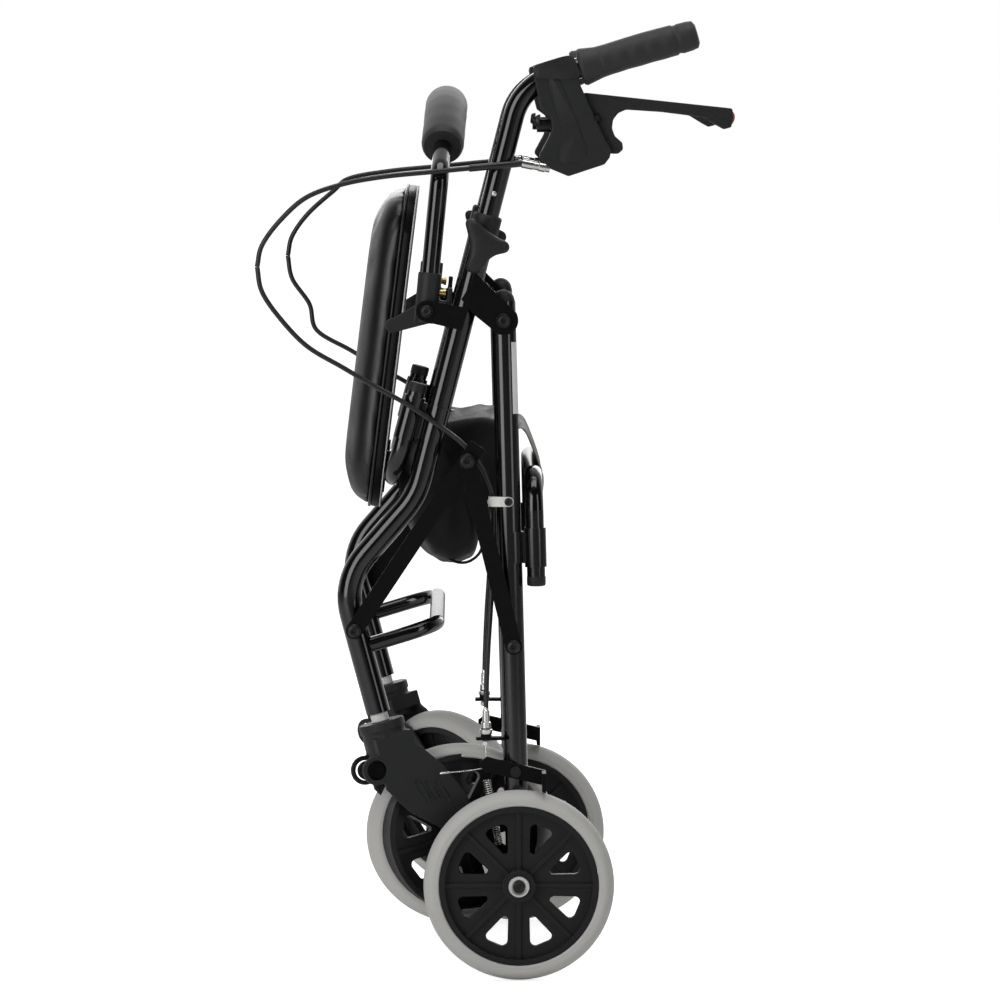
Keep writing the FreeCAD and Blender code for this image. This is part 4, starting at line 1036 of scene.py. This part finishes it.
def blank_label(side):
    """Plain label strip wrapped on the rear leg."""
    points, faces = [], []
    steps = 12
    for z in LABEL_HEIGHTS:
        share = (z * MM - AXLE_Z) / (FOLD.z - AXLE_Z)
        centre = Vector((FOLD.x * share, SIDES[side] * LEG_Y, z * MM))
        for k in range(steps + 1):
            angle = math.radians(-14 + 70 * k / steps)
            spoke = Vector((math.cos(angle), SIDES[side] * math.sin(angle), 0))
            points.append(centre + spoke * (LEG_R + 0.15 * MM))
            points.append(centre + spoke * (LEG_R - 0.3 * MM))
    width = 2 * (steps + 1)
    for a in range(0, 2 * steps, 2):
        for first, second in ((0, 2), (1, 3)):
            faces.append((a + first, a + second, a + second + width, a + first + width))
        for row in (0, width):
            faces.append((row + a, row + a + 1, row + a + 3, row + a + 2))
    label = add_piece(f"blank_label_{side}", points, faces, "label")
    settle(sharpen(label, 40), "rear_frame")


# --- moulded parts and wheels --------------------------------------------------------------
CASTER_TRAIL, CASTER_DROP = 54.0, 143.0
FORK_FACE = 23.0
FORK_SLOTS = [((14 + 10.5 * n, -75 - 3 * n), (21 + 10.5 * n, -97 - 3 * n)) for n in range(3)]
FORK_SLOT_HALF = 3.1
KNUCKLE = (-24.5, -52.0)


def fork_axes(side):
    """The caster's own directions: along its trail, along its axle and up its stem."""
    stem = Vector(JOINTS[f"caster_{side}_swivel"]["axis"]).normalized()
    stem = stem * math.copysign(1.0, stem.z)
    reach = joint_place(f"front_wheel_{side}_spin") - joint_place(f"caster_{side}_swivel")
    trail = (reach - stem * reach.dot(stem)).normalized()
    return trail, stem.cross(trail), stem


def fork_spot(side, x, y, z):
    """A point in millimetres in the caster fork's own frame."""
    trail, axle, stem = fork_axes(side)
    start = joint_place(f"front_wheel_{side}_spin")
    offset = trail * (x - CASTER_TRAIL) + axle * y + stem * (z + CASTER_DROP)
    return start + offset * MM


def fork_trim(side):
    """Raised rims round the slots in the fork's legs, and the closed core of its knuckle."""
    body = f"caster_{side}"
    for face in (-FORK_FACE, FORK_FACE):
        for number, (start, end) in enumerate(FORK_SLOTS):
            along = (Vector(end) - Vector(start)).normalized()
            across = Vector((-along.y, along.x)) * FORK_SLOT_HALF
            loop = []
            for centre, turn in ((Vector(end), 0.0), (Vector(start), math.pi)):
                for k in range(9):
                    angle = turn + math.pi * k / 8
                    spot = centre + across * math.cos(angle) + along * FORK_SLOT_HALF * math.sin(angle)
                    loop.append(fork_spot(side, spot.x, face, spot.y))
            points, faces = sweep([*loop, loop[0]], 0.55 * MM, 8)
            where = "inner" if face < 0 else "outer"
            rim = add_piece(f"fork_slot_{number}_{where}_{side}", points, faces, "plastic_charcoal")
            settle(rim, body)
    core = in_mm([(10.9, -11.5), (10.9, -10.5), (9.0, -9.5), (9.0, 9.5), (10.9, 10.5), (10.9, 11.5)])
    middle = fork_spot(side, KNUCKLE[0], 0, KNUCKLE[1])
    points, faces = lathe(core, middle, fork_axes(side)[1], 32)
    piece = sharpen(add_piece(f"fork_core_{side}", points, faces, "link_black"), 40)
    settle(piece, body)


def moulded_parts():
    """Forks and backrest sockets, their edges rounded as mouldings' are."""
    for side in SIDES:
        node = f"caster_fork_{side}"
        piece = moulded(node, f"fork_{side}", "plastic_charcoal", 1.0, 3)
        settle(piece, f"caster_{side}", [node])
        fork_trim(side)
    piece = moulded("backrest_sockets", "sockets", "plastic_charcoal", 0.9, 5)
    settle(piece, "backrest", ["backrest_sockets"])


# Half of the tyre's section, from the lip at the rim to the tread: radius and half width.
TYRE_HALF = [(83.7, 12.8), (84.2, 13.9), (85.2, 14.5), (86.6, 14.7), (87.6, 14.3)]
TYRE_HALF += [(88.4, 14.5), (90.0, 14.6), (92.5, 13.7), (95.0, 11.7), (97.2, 8.8)]
TYRE_HALF += [(98.8, 5.4), (99.6, 2.2), (99.8, 0.5)]


def tyre(node, body):
    """Soft grey tyre: round shoulders, a faint mould line and a lip against the rim."""
    cad = cad_points(node)
    middle = Vector((cad.min(0) + cad.max(0)) / 2)
    axis = Vector(JOINTS[f"{body}_spin"]["axis"]).normalized()
    hub = joint_place(f"{body}_spin")
    centre = hub + axis * (middle - hub).dot(axis)
    section = TYRE_HALF + [(radius, -out) for radius, out in reversed(TYRE_HALF)]
    around = 160
    points, _ = lathe(in_mm(section), centre, axis, around)
    faces = ring_walls(len(section), around)
    last = (len(section) - 1) * around
    for k in range(around):
        following = (k + 1) % around
        faces.append((k, following, last + following, last + k))
    piece = sharpen(add_piece(node.replace("tyre", "tyre_skin"), points, faces, "tyre_grey"), 60)
    settle(piece, body, [node])


def wheel_bolts(side):
    """Washer and socket bolt on the rear wheels."""
    low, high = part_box(f"rear_wheel_hub_{side}")
    face = low.y if side == "left" else high.y
    outward = Vector((0, SIDES[side], 0))
    centre = Vector((0, face, AXLE_Z)) + outward * 1.9 * MM
    washer = in_mm([(6.0, 0), (11.0, 0), (11.2, 0.5), (10.8, 1.4), (7.4, 1.6), (6.3, 1.2)])
    points, faces = lathe(washer, centre, outward, 48)
    piece = sharpen(add_piece(f"axle_washer_{side}", points, faces, "steel_zinc"), 30)
    settle(piece, "rear_frame")
    screw_head(f"axle_screw_{side}", centre + outward * MM, outward, 6.5 * MM, 5 * MM, "rear_frame")


# --- the whole model -----------------------------------------------------------------------
dress_frame()
for side in SIDES:
    hand_grip(side)
    housing(side)
    lever(side)
    knob(side)
    lower_brake(side)
    frame_details(side)
    blank_label(side)
    wheel_bolts(side)
    tyre(f"front_tyre_{side}", f"front_wheel_{side}")
    tyre(f"rear_tyre_{side}", f"rear_wheel_{side}")
foam_sleeve()
seat_cushion()
seat_edges()
storage_bag()
bag_details()
cables()
moulded_parts()


# --- camera, light and floor ---------------------------------------------------------------
CAMERA_PLACE = Vector((-0.0606, -7.314, 0.933))
CAMERA_TARGET = Vector((-0.0195, -0.22, 0.5011))
CAMERA_LENS = 244.1
# Area lights: name, place, size and power in watts.
LIGHTS = (
    ("key", (-2.3, -2.9, 1.5), (2.0, 2.8), 62),
    ("fill", (2.6, -2.6, 1.5), (1.0, 2.6), 16),
    ("top", (0.0, -0.6, 3.2), (2.6, 1.6), 40),
    ("back", (0.4, 3.0, 1.8), (3.0, 2.0), 40),
)
LIGHT_TARGET = Vector((0, 0, 0.5))
FLOOR_HALF = 40.0


def aim(thing, place_at, target):
    """Puts a camera or light at a place, looking at the target."""
    thing.location = place_at
    thing.rotation_mode = "QUATERNION"
    thing.rotation_quaternion = (target - Vector(place_at)).to_track_quat("-Z", "Y")
    bpy.context.scene.collection.objects.link(thing)


def depth_ramp(tree, vector, near, far, low, high):
    """A value rising from low to high as the vector's Y goes from near to far."""
    parts = tree.nodes.new("ShaderNodeSeparateXYZ")
    link(tree, vector, parts.inputs[0])
    ramp = tree.nodes.new("ShaderNodeMapRange")
    ramp.inputs["From Min"].default_value = near
    ramp.inputs["From Max"].default_value = far
    ramp.inputs["To Min"].default_value = low
    ramp.inputs["To Max"].default_value = high
    link(tree, parts.outputs["Y"], ramp.inputs["Value"])
    return ramp.outputs["Result"]


def camera_ray(tree):
    return tree.nodes.new("ShaderNodeLightPath").outputs["Is Camera Ray"]


def camera_and_lights():
    scene = bpy.context.scene
    camera = bpy.data.objects.new("camera", bpy.data.cameras.new("camera"))
    aim(camera, CAMERA_PLACE, CAMERA_TARGET)
    camera.data.lens = CAMERA_LENS
    camera.data.clip_end = 60
    scene.camera = camera
    scene.view_settings.view_transform = "Standard"
    for name, spot, size, power in LIGHTS:
        light = bpy.data.objects.new(name, bpy.data.lights.new(name, "AREA"))
        light.data.shape = "RECTANGLE"
        light.data.size, light.data.size_y = size
        light.data.energy = power
        aim(light, spot, LIGHT_TARGET)


def backdrop():
    """A white world, dim in front of the object and brighter behind it."""
    world = bpy.data.worlds.new("studio")
    bpy.context.scene.world = world
    world.use_nodes = True
    tree = world.node_tree
    ground = tree.nodes["Background"]
    ground.inputs["Color"].default_value = (1, 1, 1, 1)
    source = tree.nodes.new("ShaderNodeTexCoord")
    ramp = depth_ramp(tree, source.outputs["Generated"], 0.1, 0.75, 0.03, 0.9)
    strength = math_node(tree, "MAXIMUM", ramp, camera_ray(tree))
    link(tree, strength, ground.inputs["Strength"])


def pale_floor():
    """A plain pale floor that fades into the backdrop away from the object."""
    corners = [(-FLOOR_HALF, -FLOOR_HALF, 0), (FLOOR_HALF, -FLOOR_HALF, 0)]
    corners += [(FLOOR_HALF, FLOOR_HALF, 0), (-FLOOR_HALF, FLOOR_HALF, 0)]
    add_piece("floor", corners, [(0, 1, 2, 3)], "floor")
    tree = MATERIALS["floor"].node_tree
    glow = tree.nodes["Principled BSDF"]
    glow.inputs["Emission Color"].default_value = (1, 1, 1, 1)
    ramp = depth_ramp(tree, coordinates(tree), 0.3, 4.0, 0.66, 0.9)
    bright = math_node(tree, "MULTIPLY", camera_ray(tree), ramp)
    link(tree, bright, glow.inputs["Emission Strength"])


camera_and_lights()
backdrop()
pale_floor()
